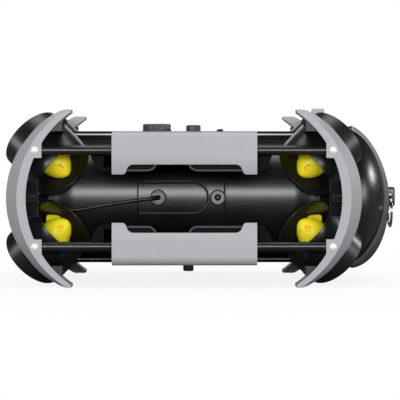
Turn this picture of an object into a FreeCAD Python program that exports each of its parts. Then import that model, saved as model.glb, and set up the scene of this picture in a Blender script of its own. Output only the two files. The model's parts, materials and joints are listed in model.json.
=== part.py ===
import FreeCAD, Part
import math
import os

# Underwater inspection vehicle: a black pressure hull between four end guards, eight vectored
# thrusters and four corner tubes. It is drawn about the hull axis at the middle of the frame,
# X towards the rear, Y across, Z up, then moved so that it stands on its feet.

Vector = FreeCAD.Vector

# longer than the whole part, for tools that cut right through
beyond = 400.0

# pressure hull
hull_radius = 60.5
hull_end_step = 2.9
hull_wall = 3.5
hull_rear = 140.0
hull_rear_seat = 16.0
hull_rear_taper = 20.0
hull_front_setback = 15.0
hull_front_taper = 21.0
bulkhead_x = -18.0
bulkhead_thickness = 5.0
hull_end_radius = hull_radius - hull_end_step
hull_bore = hull_end_radius - hull_wall
hull_front = hull_rear - hull_front_setback
hull_front_shoulder = hull_front - hull_front_taper
hull_rear_shoulder = hull_rear - hull_rear_seat - hull_rear_taper

# mid collar
collar_front = -44.0
collar_rear = 38.3
collar_proud = 1.2
channel_half_height = 14.5
vent_setback = 5.9
vent_to_channel = 9.2
vent_x = collar_rear - vent_setback
channel_end_x = vent_x - vent_to_channel

# front end
bezel_step = 1.6
bezel_length = 21.0
bezel_wall = 4.0
bezel_face_thickness = 6.0
bezel_rounding = 9.0
bezel_spigot = 8.0
bezel_radius = hull_end_radius - bezel_step
bezel_front = -hull_front - bezel_length
cavity_radius = hull_bore - bezel_wall
lamp_radius = 9.0
lamp_wall = 1.5
lamp_depth = 13.0
lamp_side_gap = 0.6
lamp_lens_thickness = 2.5
lamp_lens_setback = 0.5
lamp_y = cavity_radius - lamp_side_gap - lamp_radius
window_to_lamp = 5.5
window_thickness = 3.0
window_crown = 6.0
window_radius = lamp_y - lamp_radius - window_to_lamp
camera_radius = 15.0
camera_length = 20.0
camera_plate = 2.0
lens_radius = 8.0
lens_rounding = 2.0
lens_depth = camera_length / 3

# rails along the top and the keel
rail_front_overrun = 4.0
rail_rear_overrun = 14.0
rail_half_width = 26.0
rail_proud = 4.0
rail_edge = 3.0
rail_root = 10.0
rail_front = hull_front_shoulder + rail_front_overrun
rail_rear = hull_rear_shoulder + rail_rear_overrun
rail_height = hull_radius + rail_proud

# corner tubes and the bolts at their ends
tube_radius = 4.6
tube_wall = 1.6
tube_block_half = 5.0
bolt_setback = 2.0
bolt_x = hull_rear - bolt_setback

# thrusters: the middle of the lower front one on the near side, and its outward axis
thruster_axis = (-0.636, 0.436, -0.636)
thruster_setback = 8.7
thruster_tuck_in = 10.3
thruster_tuck_up = 19.0
duct_radius = 31.6
duct_wall = 2.7
duct_length = 50.0
duct_lip = 1.2
guard_duct_clearance = 0.8
sleeve_wall = 1.6
sleeve_start = 1.0
sleeve_length = 20.0
stator_thickness = 2.4
motor_radius = 13.2
motor_length = 24.0
motor_nose = 5.0
shaft_radius = 2.0
shaft_length = 12.0
running_fit = 0.05
propeller_gap = 0.8
hub_step = 1.3
hub_dome = 20.0
hub_tip_flat = 0.6
hub_tip_past_lip = 6.0
hub_bulge_radius = 0.72
hub_bulge_height = 0.38
hub_recess_x = 6.5
hub_recess_inset = 0.66
hub_recess_radius = 2.3
hub_recess_depth = 2.5
blade_tip_gap = 1.3
blade_thickness = 1.8
blade_chord = 21.0
blade_count = 3
blade_start_angle = 60.0
thruster_x = thruster_setback - bolt_x
thruster_y = thruster_tuck_in - hull_radius - duct_radius
thruster_z = thruster_tuck_up - hull_radius
hub_radius = motor_radius + hub_step
blade_radius = duct_radius - duct_wall - blade_tip_gap
axis_unit = Vector(*thruster_axis)
axis_unit.normalize()
duct_reach_x = duct_radius * math.sqrt(1 - axis_unit.x ** 2) - axis_unit.x * duct_length / 2 - thruster_x
duct_reach_y = duct_radius * math.sqrt(1 - axis_unit.y ** 2) + axis_unit.y * duct_length / 2 - thruster_y

# cradles
cradle_to_duct_front = 19.4
cradle_to_duct_rear = 24.4
cradle_wall = 3.0
cradle_root = 16.5
cradle_gap_front = 25.0
cradle_gap_rear = 3.6
cradle_slant = 12.0
cradle_bridge_rise = 18.0
cradle_rounding = 9.0
cradle_corner = 3.0
cradle_bridge_corner = 4.0
cradle_inner_y = hull_radius - cradle_root
cradle_front = bolt_x - duct_radius - cradle_to_duct_front
cradle_rear = bolt_x - duct_radius - cradle_to_duct_rear

# side shells, and the tubes, the cradles' floors and their tops that follow them
shell_past_duct = 9.36
shell_rise = 1.7
shell_wall = 2.4
shell_front_setback = 20.0
shell_rear_setback = 14.2
shell_edge_drop = 13.1
shell_leg_drop = 22.3
shell_leg_width = 15.8
shell_leg_slope = 3.7
shell_leg_round = 3.5
shell_arch_round = 6.5
shell_rounding = 8.0
shell_depth = 27.0
tube_below_top = 17.5
cradle_floor_drop = 19.3
cradle_top_rise = 3.3
shell_face_y = duct_reach_y + shell_past_duct
shell_top = hull_radius + shell_rise
shell_front = cradle_front - shell_front_setback
shell_rear = cradle_rear - shell_rear_setback
corner_z = shell_top - tube_below_top
shell_edge = corner_z - shell_edge_drop
shell_leg_edge = corner_z - shell_leg_drop
cradle_bottom = corner_z - cradle_floor_drop
cradle_top = corner_z + cradle_top_rise

# end guards: three circles whose foremost points lie past the bolts
foot_reach = 22.0
guard_step = 1.0
guard_depth = 27.5
guard_plate = 3.0
guard_web = 1.6
guard_inner_extra = 14.4
guard_face_extra = 13.9
guard_rim_extra = 9.2
guard_inner_reach = 8.5
guard_face_reach = 16.9
guard_rim_reach = 29.3
guard_tip_setback = 33.5
guard_foot_height = 12.0
lug_half_height = 7.0
lug_width = 8.3
lug_past_bolt = 2.0
bolt_radius = 2.0
bolt_head_radius = 3.5
bolt_head_height = 2.0
guard_half_height = hull_radius + foot_reach
guard_face_y = shell_face_y + guard_step
guard_back_y = guard_face_y - guard_depth
plate_back_y = guard_face_y - guard_plate
guard_inner_radius = guard_half_height + guard_inner_extra
guard_face_radius = guard_half_height + guard_face_extra
guard_rim_radius = guard_half_height + guard_rim_extra
guard_inner_x = bolt_x + guard_inner_reach - guard_inner_radius
guard_face_x = bolt_x + guard_face_reach - guard_face_radius
guard_rim_x = bolt_x + guard_rim_reach - guard_rim_radius
guard_tip_x = bolt_x - guard_tip_setback

# end frames behind the guards, and the clips between guards and ducts
arm_width = 9.0
arm_half_height = 3.0
arm_foot_reach = 15.0
arm_foot_depth = 4.0
frame_ring_wall = 1.6
frame_ring_width = 9.0
frame_ring_past_bolt = 2.0
frame_ring_clearance = 0.4
frame_plate_half_height = 17.0
frame_plate_thickness = 4.0
boss_step = 1.5
boss_z = 8.5
boss_radius = 3.2
boss_setback = 10.5
clip_setback = 20.5
clip_drop = 15.5
clip_half = 4.5
boss_x = bolt_x + boss_step
boss_front_y = plate_back_y - boss_setback
clip_x = bolt_x - clip_setback
clip_z = guard_half_height - clip_drop

# battery pack and its cap
seal_gap = 0.6
cap_skirt_step = 0.6
cap_skirt_length = 14.0
cap_centre_setback = 20.0
cap_overhang = 8.5
cap_reach = 40.5
cap_power = 1.75
cap_wall = 4.0
cap_spigot = 10.0
cap_slide_fit = 0.4
flare_turn_x = 0.38
flare_turn_radius = 0.6
seal_section = 1.2
seal_shares = (0.3, 0.7)
band_half_width = 18.0
band_proud = 2.0
band_top_power = 1.7
band_bottom_power = 2.2
band_start = 5.0
dome_angles = (84, 74, 63, 52, 41, 30, 20, 11, 4, 0)
eye_reach = 9.5
eye_root = 6.0
eye_half_width = 4.0
eye_top = 9.5
eye_bottom = -10.0
eye_rounding = 3.0
eye_hole_z = 0.7
ring_setback = 4.8
ring_radius = 15.4
ring_wire = 1.3
ring_play = 0.9
pack_side_gap = 9.1
pack_collar = 6.0
pack_end_gap = 5.0
cap_skirt_radius = hull_end_radius - cap_skirt_step
cap_skirt_end = hull_rear + cap_skirt_length
cap_centre_x = hull_rear + cap_centre_setback
cap_radius = hull_radius + cap_overhang
eye_end_x = cap_centre_x + cap_reach + eye_reach
eye_hole_radius = ring_wire + ring_play
ring_x = eye_end_x - ring_setback
pack_radius = hull_bore - pack_side_gap
pack_front = bulkhead_x + bulkhead_thickness + pack_end_gap

# caps, knob, switch and plugs
port_cap_x = -27.2
port_cap_radius = 14.4
port_cap_height = 7.5
port_cap_flutes = 24
port_bore_radius = 9.0
small_knob_x = 9.3
small_knob_radius = 7.35
small_knob_height = 6.5
small_knob_flutes = 14
switch_x = 35.1
switch_length = 7.0
switch_half_width = 4.0
switch_height = 2.5
switch_slope = 2.0
switch_travel = 4.0
switch_clearance = 0.3
keel_plug_x = 4.1
keel_plug_radius = 5.45
keel_plug_height = 9.9
keel_plug_flutes = 12
knob_spigot_share = 0.55
spigot_fit = 0.05
flute_radius = 0.9
seat_gap = 0.3
vent_radius = 7.1
vent_hole_radius = 3.0
vent_height = 1.6
pin_hole_x = 45.0
pin_hole_radius = 0.9
gland_setback = 19.0
gland_radius = 7.8
gland_height = 3.0
gland_rounding = 0.8
gland_boot_radius = 2.4
lead_radius = 1.5
bend_share = 0.45
nose_gland_half = 3.5
nose_gland_length = 4.7
nose_gland_proud = 2.0
nose_gland_root = 3.0
nose_gland_rounding = 1.2
accessory_hole_radius = 2.1
accessory_pitch = 40.0
gland_x = collar_front + gland_setback

# tether lug, with its hole fore and aft
tether_setback = 6.8
tether_half_length = 6.0
tether_half_width = 7.0
tether_flange_half = 12.0
tether_flange_proud = 4.0
tether_height = 29.9
tether_hole_radius = 3.0
tether_hole_drop = 9.0
tether_rounding = 2.0
tether_x = hull_rear - tether_setback
tether_top = hull_end_radius + tether_height
tether_hole_z = tether_top - tether_hole_drop

# circuit board and its taller parts: start and width as shares of its length, height in mm
board_setback = 13.0
board_rear = 30.0
board_z = -10.0
board_thickness = 1.6
board_fit = 0.3
board_parts = ((0.08, 0.22, 9.0), (0.4, 0.3, 5.4), (0.78, 0.14, 12.6))
board_front = hull_front - board_setback

# the place of the finished part: middle of the reach at X = 0, soles of the feet at Z = 0
stand = Vector((duct_reach_x - eye_end_x) / 2, 0, guard_half_height)

X_AXIS = Vector(1, 0, 0)
Y_AXIS = Vector(0, 1, 0)
Z_AXIS = Vector(0, 0, 1)
ORIGIN = Vector(0, 0, 0)


def rod(radius, start, end):
    """Cylinder from one point to another."""
    way = end - start
    return Part.makeCylinder(radius, way.Length, start, way)


def tube(outer, inner, start, end):
    """Straight tube from one point to another."""
    return rod(outer, start, end).cut(rod(inner, start, end))


def block(x0, x1, y0, y1, z0, z1):
    """Box between two corners."""
    return Part.makeBox(x1 - x0, y1 - y0, z1 - z0, Vector(x0, y0, z0))


def prism(points, way):
    """Closed polygon of points pushed along a vector."""
    wire = Part.makePolygon(points + [points[0]])
    return Part.Face(wire).extrude(way)


def turned(points):
    """Solid of revolution about the hull axis from (x, radius) points."""
    corners = [Vector(x, 0, r) for x, r in points]
    face = Part.Face(Part.makePolygon(corners + [corners[0]]))
    return face.revolve(ORIGIN, X_AXIS, 360)


def flip(shape, *normals):
    """Mirror a shape across planes through the middle of the frame."""
    for normal in normals:
        shape = shape.mirror(ORIGIN, normal)
    return shape


def rounded(shape, radius, chosen):
    """Round the edges for which chosen(edge) is true."""
    return shape.makeFillet(radius, [edge for edge in shape.Edges if chosen(edge)])


def round_corner(before, corner, after, radius):
    """Start, middle and end of the arc that rounds one corner of a polygon."""
    back = (before - corner).normalize()
    ahead = (after - corner).normalize()
    half = back.getAngle(ahead) / 2
    reach = radius / math.tan(half)
    centre = corner + (back + ahead).normalize() * (radius / math.sin(half))
    middle = centre + (corner - centre).normalize() * radius
    return corner + back * reach, middle, corner + ahead * reach


def side_panel(corners, y0, y1):
    """Outline of (x, z, corner radius) in the XZ plane, pushed from y0 to y1."""
    points = [Vector(x, y0, z) for x, z, radius in corners]
    edges = []
    ends = []
    for i, (x, z, radius) in enumerate(corners):
        if radius:
            after = points[(i + 1) % len(points)]
            start, middle, end = round_corner(points[i - 1], points[i], after, radius)
            edges.append(Part.Arc(start, middle, end).toShape())
        else:
            start = end = points[i]
        ends.append((start, end))
    for i in range(len(ends)):
        edges.append(Part.LineSegment(ends[i - 1][1], ends[i][0]).toShape())
    wire = Part.Wire(Part.__sortEdges__(edges))
    return Part.Face(wire).extrude(Vector(0, y1 - y0, 0))


def export(name, *shapes):
    """Write the solids of one node, moved to where the part stands."""
    solids = []
    for shape in shapes:
        solids += shape.Solids
    body = solids[0] if len(solids) == 1 else Part.makeCompound(solids)
    body = body.copy()
    body.translate(stand)
    body.exportStep(f"parts/{name}.step")
    print(name, len(solids), round(sum(solid.Volume for solid in solids)))


hull_solid = turned([
    (-hull_front, 0),
    (-hull_front, hull_end_radius),
    (-hull_front_shoulder, hull_radius),
    (hull_rear_shoulder, hull_radius),
    (hull_rear - hull_rear_seat, hull_end_radius),
    (hull_rear, hull_end_radius),
    (hull_rear, 0),
])


def make_hull():
    """Pressure hull: one tube with a bulkhead between the electronics and the battery."""
    bore_start = Vector(-hull_front - 1, 0, 0)
    wall_start = Vector(bulkhead_x, 0, 0)
    wall_end = Vector(bulkhead_x + bulkhead_thickness, 0, 0)
    hull = hull_solid.cut(rod(hull_bore, bore_start, wall_start))
    hull = hull.cut(rod(hull_bore, wall_end, Vector(hull_rear + 1, 0, 0)))
    skin = Vector(pin_hole_x, -hull_radius, 0)
    pin_hole = rod(pin_hole_radius, skin - Y_AXIS, skin + Y_AXIS)
    seat = Vector(port_cap_x, 0, hull_radius)
    port = rod(port_bore_radius, seat - Z_AXIS * 2, Vector(port_cap_x, 0, rail_height))
    return hull.cut(pin_hole).cut(port)


def stadium(height, front, end, depth):
    """Channel cutter with a round rear end, on the near side."""
    centre = end - height
    body = block(front, centre, -depth, 0, -height, height)
    return body.fuse(rod(height, Vector(centre, -depth, 0), Vector(centre, 0, 0)))


def make_collar():
    """Sleeve round the middle of the hull with a shallow channel on both sides."""
    start = Vector(collar_front, 0, 0)
    end = Vector(collar_rear, 0, 0)
    collar = tube(hull_radius + collar_proud, hull_radius, start, end)
    cutter = stadium(channel_half_height, collar_front - 1, channel_end_x, beyond)
    collar = collar.cut(cutter).cut(flip(cutter, Y_AXIS))
    return collar.cut(rail_block(1)).cut(rail_block(-1))


def rail_block(side):
    """Longitudinal rail on the top (1) or the keel (-1), with chamfered edges."""
    low = hull_radius - rail_root
    ring = [
        Vector(-rail_front, -rail_half_width, low),
        Vector(-rail_front, -rail_half_width, rail_height - rail_edge),
        Vector(-rail_front, -rail_half_width + rail_edge, rail_height),
        Vector(-rail_front, rail_half_width - rail_edge, rail_height),
        Vector(-rail_front, rail_half_width, rail_height - rail_edge),
        Vector(-rail_front, rail_half_width, low),
    ]
    rail = prism(ring, Vector(rail_front + rail_rear, 0, 0)).cut(hull_solid)
    rail = max(rail.Solids, key=lambda solid: solid.Volume)
    return rail if side > 0 else flip(rail, Z_AXIS)


def make_top_rail():
    """Top rail with the seats of the port cap, the small knob and the switch."""
    rail = rail_block(1)
    top = rail_height + 1
    low = hull_radius - 1
    port_start = Vector(port_cap_x, 0, low)
    rail = rail.cut(rod(port_bore_radius, port_start, Vector(port_cap_x, 0, top)))
    knob_bore = small_knob_radius * knob_spigot_share
    rail = rail.cut(rod(knob_bore, Vector(small_knob_x, 0, low), Vector(small_knob_x, 0, top)))
    half = switch_length / 2 + switch_clearance
    side = switch_half_width / 2 + switch_clearance
    slot = block(switch_x - half, switch_x + half + switch_travel, -side, side, low, top)
    return rail.cut(slot)


def make_keel_rail():
    """Keel rail with the seat of the knurled plug and two accessory holes."""
    rail = rail_block(-1)
    top = -rail_height - 1
    low = -hull_radius + 1
    plug_bore = keel_plug_radius * knob_spigot_share
    rail = rail.cut(rod(plug_bore, Vector(keel_plug_x, 0, low), Vector(keel_plug_x, 0, top)))
    for x in accessory_places():
        rail = rail.cut(rod(accessory_hole_radius, Vector(x, 0, low), Vector(x, 0, top)))
    return rail


def accessory_places():
    """Places along the keel of the two accessory holes."""
    return [keel_plug_x - accessory_pitch, keel_plug_x + accessory_pitch]


def make_bezel():
    """Nose cup with a round window seat and two lamp bores."""
    back = -hull_front
    cup = rod(bezel_radius, Vector(bezel_front, 0, 0), Vector(back, 0, 0))
    cup = rounded(cup, bezel_rounding, lambda edge: edge.BoundBox.XMax < bezel_front + 0.01)
    cup = cup.fuse(rod(hull_bore, Vector(back, 0, 0), Vector(back + bezel_spigot, 0, 0)))
    cavity_start = Vector(bezel_front + bezel_face_thickness, 0, 0)
    cup = cup.cut(rod(cavity_radius, cavity_start, Vector(back + bezel_spigot + 1, 0, 0)))
    seat = Vector(bezel_front + window_thickness, 0, 0)
    cup = cup.cut(rod(window_radius, Vector(bezel_front - 1, 0, 0), seat))
    sight = window_radius - window_thickness
    cup = cup.cut(rod(sight, Vector(bezel_front - 1, 0, 0), cavity_start + X_AXIS))
    for side in (-1, 1):
        y = side * lamp_y
        bore_end = Vector(bezel_front + bezel_face_thickness + 1, y, 0)
        cup = cup.cut(rod(lamp_radius, Vector(bezel_front - 1, y, 0), bore_end))
    return cup.removeSplitter()


def make_window():
    """Slightly crowned window glass in its seat."""
    back = bezel_front + window_thickness
    crown = bezel_front - window_crown
    chord = window_radius
    radius = (chord ** 2 + window_crown ** 2) / (2 * window_crown)
    ball = Part.makeSphere(radius, Vector(crown + radius, 0, 0))
    outer = ball.common(rod(chord, Vector(crown - 1, 0, 0), Vector(bezel_front, 0, 0)))
    disc = rod(chord, Vector(bezel_front, 0, 0), Vector(back, 0, 0))
    inner_radius = radius - window_thickness
    hollow = Part.makeSphere(inner_radius, Vector(crown + radius, 0, 0))
    sight = chord - 2 * window_thickness
    hollow = hollow.common(rod(sight, Vector(crown - 1, 0, 0), Vector(back + 1, 0, 0)))
    return outer.fuse(disc).removeSplitter().cut(hollow)


def make_camera():
    """Camera barrel with its flange, carried by a spider to the bezel wall."""
    front = Vector(bezel_front + window_thickness + 1, 0, 0)
    back = front + Vector(camera_length, 0, 0)
    barrel = rod(camera_radius, front, back)
    barrel = barrel.cut(rod(lens_radius, front - X_AXIS, front + Vector(lens_depth, 0, 0)))
    plate_start = Vector(bezel_front + bezel_face_thickness + lamp_depth, 0, 0)
    plate = rod(cavity_radius, plate_start, plate_start + Vector(camera_plate, 0, 0))
    return barrel.fuse(plate).removeSplitter()


def make_lens():
    """Camera lens: a stepped glass barrel with a rounded front."""
    seat = Vector(bezel_front + window_thickness + 1 + lens_depth, 0, 0)
    front = seat - Vector(lens_depth - 1, 0, 0)
    lens = rod(lens_radius - running_fit, front, seat)
    return rounded(lens, lens_rounding, lambda edge: edge.BoundBox.XMax < front.x + 0.01)


def make_lamp(side):
    """Lamp housing in the bezel: a cup with a seat for its lens."""
    y = side * lamp_y
    front = Vector(bezel_front, y, 0)
    back = Vector(bezel_front + lamp_depth, y, 0)
    cup = rod(lamp_radius, front, back)
    return cup.cut(rod(lamp_radius - lamp_wall, front - X_AXIS, back - Vector(lamp_wall, 0, 0)))


def make_lamp_lens(side):
    """Flat lamp lens inside its housing."""
    y = side * lamp_y
    front = Vector(bezel_front + lamp_lens_setback, y, 0)
    return rod(lamp_radius - lamp_wall, front, front + Vector(lamp_lens_thickness, 0, 0))


tube_y = shell_face_y - shell_wall - tube_radius
tube_end = bolt_x + tube_block_half


def make_tube(guard):
    """Corner tube of the upper near side: a hollow tube with a bored block behind each guard."""
    body = rod(tube_radius, Vector(-tube_end, -tube_y, corner_z), Vector(tube_end, -tube_y, corner_z))
    for side in (-1, 1):
        x0, x1 = sorted((side * (bolt_x - tube_block_half), side * tube_end))
        low = corner_z - tube_radius
        high = corner_z + tube_radius
        body = body.fuse(block(x0, x1, -plate_back_y, -tube_y + tube_radius, low, high))
    body = body.removeSplitter()
    inner_end = Vector(bolt_x - tube_block_half - 2, -tube_y, corner_z)
    body = body.cut(rod(tube_radius - tube_wall, Vector(-inner_end.x, -tube_y, corner_z), inner_end))
    for side in (-1, 1):
        start = Vector(side * bolt_x, -guard_face_y, corner_z)
        body = body.cut(rod(bolt_radius, start, start + Y_AXIS * (guard_plate + tube_radius)))
    body = body.cut(guard).cut(flip(guard, X_AXIS))
    return max(body.Solids, key=lambda solid: solid.Volume)


def is_corner(edge, face, top):
    """True for the lengthwise edge where the near face of a block meets its top."""
    return edge.BoundBox.YMax < -face + 0.1 and edge.BoundBox.ZMin > top - 0.1


def make_shell():
    """Side shell of the upper near side, wrapped over its tube."""
    back = shell_face_y - shell_depth
    low = shell_leg_edge - 1
    outer = block(-shell_front, shell_rear, -shell_face_y, -back, low, shell_top)
    outer = rounded(outer, shell_rounding, lambda edge: is_corner(edge, shell_face_y, shell_top))
    face, top = shell_face_y - shell_wall, shell_top - shell_wall
    inner = block(-shell_front - 1, shell_rear + 1, -face, -back + 1, low - 1, top)
    inner = rounded(inner, shell_rounding - shell_wall, lambda edge: is_corner(edge, face, top))
    leg_in = shell_leg_width - shell_leg_slope
    outline = [
        (-shell_front, shell_leg_edge, 0),
        (-shell_front + leg_in, shell_leg_edge, shell_leg_round),
        (-shell_front + shell_leg_width, shell_edge, shell_arch_round),
        (shell_rear - shell_leg_width, shell_edge, shell_arch_round),
        (shell_rear - leg_in, shell_leg_edge, shell_leg_round),
        (shell_rear, shell_leg_edge, 0),
        (shell_rear, shell_top + 1, 0),
        (-shell_front, shell_top + 1, 0),
    ]
    panel = side_panel(outline, -shell_face_y - 1, -back + 1)
    return outer.cut(inner).common(panel)


collar_envelope = rod(hull_radius + collar_proud, Vector(-beyond, 0, 0), Vector(beyond, 0, 0))
cradle_bridge = cradle_bottom + cradle_bridge_rise


def make_cradle():
    """Upper near cradle: two boxed lobes and a bridge, saddled on the hull, round the tube."""
    face = shell_face_y - shell_wall
    outline = [
        (-cradle_front, cradle_top, 0),
        (-cradle_front, cradle_bottom + cradle_slant + 2, cradle_corner),
        (-cradle_front + cradle_slant / 2, cradle_bottom, cradle_rounding),
        (-cradle_gap_front, cradle_bottom, cradle_rounding),
        (-cradle_gap_front, cradle_bridge, cradle_bridge_corner),
        (cradle_gap_rear, cradle_bridge, cradle_bridge_corner),
        (cradle_gap_rear, cradle_bottom, cradle_rounding),
        (cradle_rear - cradle_slant / 2, cradle_bottom, cradle_rounding),
        (cradle_rear, cradle_bottom + cradle_slant + 2, cradle_corner),
        (cradle_rear, cradle_top, 0),
    ]
    cradle = side_panel(outline, -face, -cradle_inner_y).cut(collar_envelope)
    floor = cradle_bottom + cradle_wall
    spans = [
        (-cradle_front + cradle_slant, -cradle_gap_front - cradle_wall),
        (cradle_gap_rear + cradle_wall, cradle_rear - cradle_slant),
    ]
    for x0, x1 in spans:
        pocket = block(x0, x1, -face + cradle_wall, -hull_radius, floor, cradle_top + 1)
        cradle = cradle.cut(pocket)
    for x0, x1 in ((-tube_end, -shell_front), (shell_rear, tube_end)):
        cradle = cradle.cut(block(x0, x1, -face - 1, -tube_y + tube_radius + seat_gap, 0, beyond))
    tube_start = Vector(-tube_end, -tube_y, corner_z)
    cradle = cradle.cut(rod(tube_radius, tube_start, Vector(tube_end, -tube_y, corner_z)))
    low = corner_z - tube_radius
    return cradle.cut(block(-tube_end, tube_end, -face - 1, -tube_y, low, low + 2 * tube_radius))


def guard_cone(offset, shift):
    """Oblique cone between the face circle and the rim circle of the front near guard."""
    face_centre = Vector(-guard_face_x, -guard_face_y + shift, 0)
    rim_centre = Vector(-guard_rim_x, -guard_back_y + shift, 0)
    circles = [
        Part.Circle(face_centre, Y_AXIS, guard_face_radius - offset),
        Part.Circle(rim_centre, Y_AXIS, guard_rim_radius - offset),
    ]
    return Part.makeLoft([Part.Wire(circle.toShape()) for circle in circles], True, True)


thruster_centre = Vector(thruster_x, thruster_y, thruster_z)


def along(distance):
    """Point on the axis of the lower front near thruster."""
    return thruster_centre + axis_unit * distance


duct_inner = along(-duct_length / 2)
duct_outer = along(duct_length / 2)
duct_space = rod(duct_radius, duct_inner, duct_outer)


def make_guard():
    """Front near guard: face plate, sloping rim, solid feet and the two bolt lugs."""
    cone = guard_cone(0, 0)
    shell = cone.cut(guard_cone(guard_web, guard_plate))
    high = guard_half_height - guard_foot_height
    for low, top in ((high, beyond), (-beyond, -high)):
        shell = shell.fuse(cone.common(block(-beyond, 0, -beyond, 0, low, top)))
    inner = rod(guard_inner_radius, Vector(-guard_inner_x, -beyond, 0), Vector(-guard_inner_x, 0, 0))
    limit = block(-beyond, -guard_tip_x, -beyond, 0, -guard_half_height, guard_half_height)
    guard = shell.cut(inner).common(limit)
    x0 = -bolt_x - lug_past_bolt
    for side in (-1, 1):
        low = side * corner_z - lug_half_height
        lug = block(x0, x0 + lug_width, -guard_face_y, -plate_back_y, low, low + 2 * lug_half_height)
        guard = guard.fuse(lug)
    guard = guard.removeSplitter()
    for side in (-1, 1):
        start = Vector(-bolt_x, -guard_face_y - 1, side * corner_z)
        guard = guard.cut(rod(bolt_radius, start, start + Y_AXIS * (guard_plate + 2)))
        wide = rod(duct_radius + guard_duct_clearance, along(-duct_length), along(duct_length))
        guard = guard.cut(wide if side < 0 else flip(wide, Z_AXIS))
    return max(guard.Solids, key=lambda solid: solid.Volume)


def make_bolt(x, y_side, z):
    """Domed bolt through a guard lug into the block of a tube."""
    face = y_side * guard_face_y
    shank_end = y_side * (plate_back_y - tube_radius)
    shank = rod(bolt_radius, Vector(x, face, z), Vector(x, shank_end, z))
    ball_radius = (bolt_head_radius ** 2 + bolt_head_height ** 2) / (2 * bolt_head_height)
    centre = Vector(x, face + y_side * (bolt_head_height - ball_radius), z)
    head_end = Vector(x, face + y_side * (bolt_head_height + 1), z)
    head = Part.makeSphere(ball_radius, centre)
    head = head.common(rod(bolt_head_radius, Vector(x, face, z), head_end))
    return shank.fuse(head).removeSplitter()


def make_end_frame(inner_radius):
    """Front end frame: a ring on the hull end, an arm to each guard and the duct bosses."""
    outer_radius = hull_end_radius + frame_ring_wall
    ring_end = -bolt_x - frame_ring_past_bolt
    ring_start = Vector(ring_end, 0, 0)
    frame = tube(outer_radius, inner_radius, ring_start, ring_start + X_AXIS * frame_ring_width)
    foot_x = -bolt_x - arm_foot_reach
    height = arm_half_height
    arm_root = -outer_radius + frame_ring_wall / 2
    arm = block(-bolt_x - arm_width, -bolt_x, -plate_back_y, arm_root, -height, height)
    foot_back = arm_foot_depth - plate_back_y
    arm = arm.fuse(block(foot_x, -bolt_x, -plate_back_y, foot_back, -height, height))
    height = frame_plate_half_height
    plate_back = frame_plate_thickness - boss_front_y
    arm = arm.fuse(block(foot_x, boss_radius - boss_x, -boss_front_y, plate_back, -height, height))
    for side in (-1, 1):
        start = Vector(-boss_x, -boss_front_y, side * boss_z)
        arm = arm.fuse(rod(boss_radius, start, Vector(-boss_x, thruster_y, side * boss_z)))
    keep_out = rod(hull_end_radius + frame_ring_clearance, Vector(-beyond, 0, 0), ring_start)
    arm = arm.cut(keep_out).cut(duct_space).cut(flip(duct_space, Z_AXIS))
    arm = max(arm.Solids, key=lambda solid: solid.Volume)
    return frame.fuse(arm).fuse(flip(arm, Y_AXIS)).removeSplitter()


viewer_side = (-Y_AXIS + axis_unit * axis_unit.y).normalize()
thruster_turn = FreeCAD.Rotation(viewer_side, axis_unit.cross(viewer_side), axis_unit, "ZXY")
thruster_place = FreeCAD.Placement(thruster_centre, thruster_turn)


def placed(shape):
    """Move a shape drawn about the Z axis to the lower front near thruster."""
    return shape.transformed(thruster_place.toMatrix())


def spun(shape, count, start=0.0):
    """Copies of a shape turned evenly about the Z axis."""
    copies = []
    for i in range(count):
        copy = shape.copy()
        copy.rotate(ORIGIN, Z_AXIS, start + i * 360 / count)
        copies.append(copy)
    return copies


def make_duct():
    """Thruster duct with the sleeve for its motor on three stator fins."""
    half = duct_length / 2
    duct = tube(duct_radius, duct_radius - duct_wall, Vector(0, 0, -half), Vector(0, 0, half))
    duct = rounded(duct, duct_lip, lambda edge: edge.BoundBox.ZLength < 0.01)
    sleeve_end = sleeve_start + sleeve_length
    sleeve_foot = Vector(0, 0, sleeve_start)
    sleeve = tube(motor_radius + sleeve_wall, motor_radius, sleeve_foot, Vector(0, 0, sleeve_end))
    fin = block(
        motor_radius + sleeve_wall / 2,
        duct_radius - duct_wall / 2,
        -stator_thickness / 2,
        stator_thickness / 2,
        sleeve_start + stator_thickness,
        sleeve_end - stator_thickness,
    )
    duct = duct.fuse([sleeve] + spun(fin, blade_count, blade_start_angle))
    return placed(duct.removeSplitter())


def make_motor():
    """Motor pod with a rounded tail and the shaft that carries the propeller."""
    pod = rod(motor_radius, ORIGIN, Vector(0, 0, motor_length))
    pod = rounded(pod, motor_nose, lambda edge: edge.BoundBox.ZMin > motor_length - 0.01)
    return placed(pod.fuse(rod(shaft_radius, Vector(0, 0, -shaft_length), Vector(0, 0, 1))))


def blade_section(radius):
    """Rectangle of one blade station, pitched by its radius."""
    pitch = math.atan2(blade_chord / 2, radius)
    chord = Vector(0, math.cos(pitch), math.sin(pitch)) * (blade_chord / 2)
    depth = Vector(0, -math.sin(pitch), math.cos(pitch)) * (blade_thickness / 2)
    centre = Vector(radius, 0, -propeller_gap - blade_chord / 2)
    front, back = centre + depth, centre - depth
    corners = [front + chord, front - chord, back - chord, back + chord]
    return Part.makePolygon(corners + [corners[0]])


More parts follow.
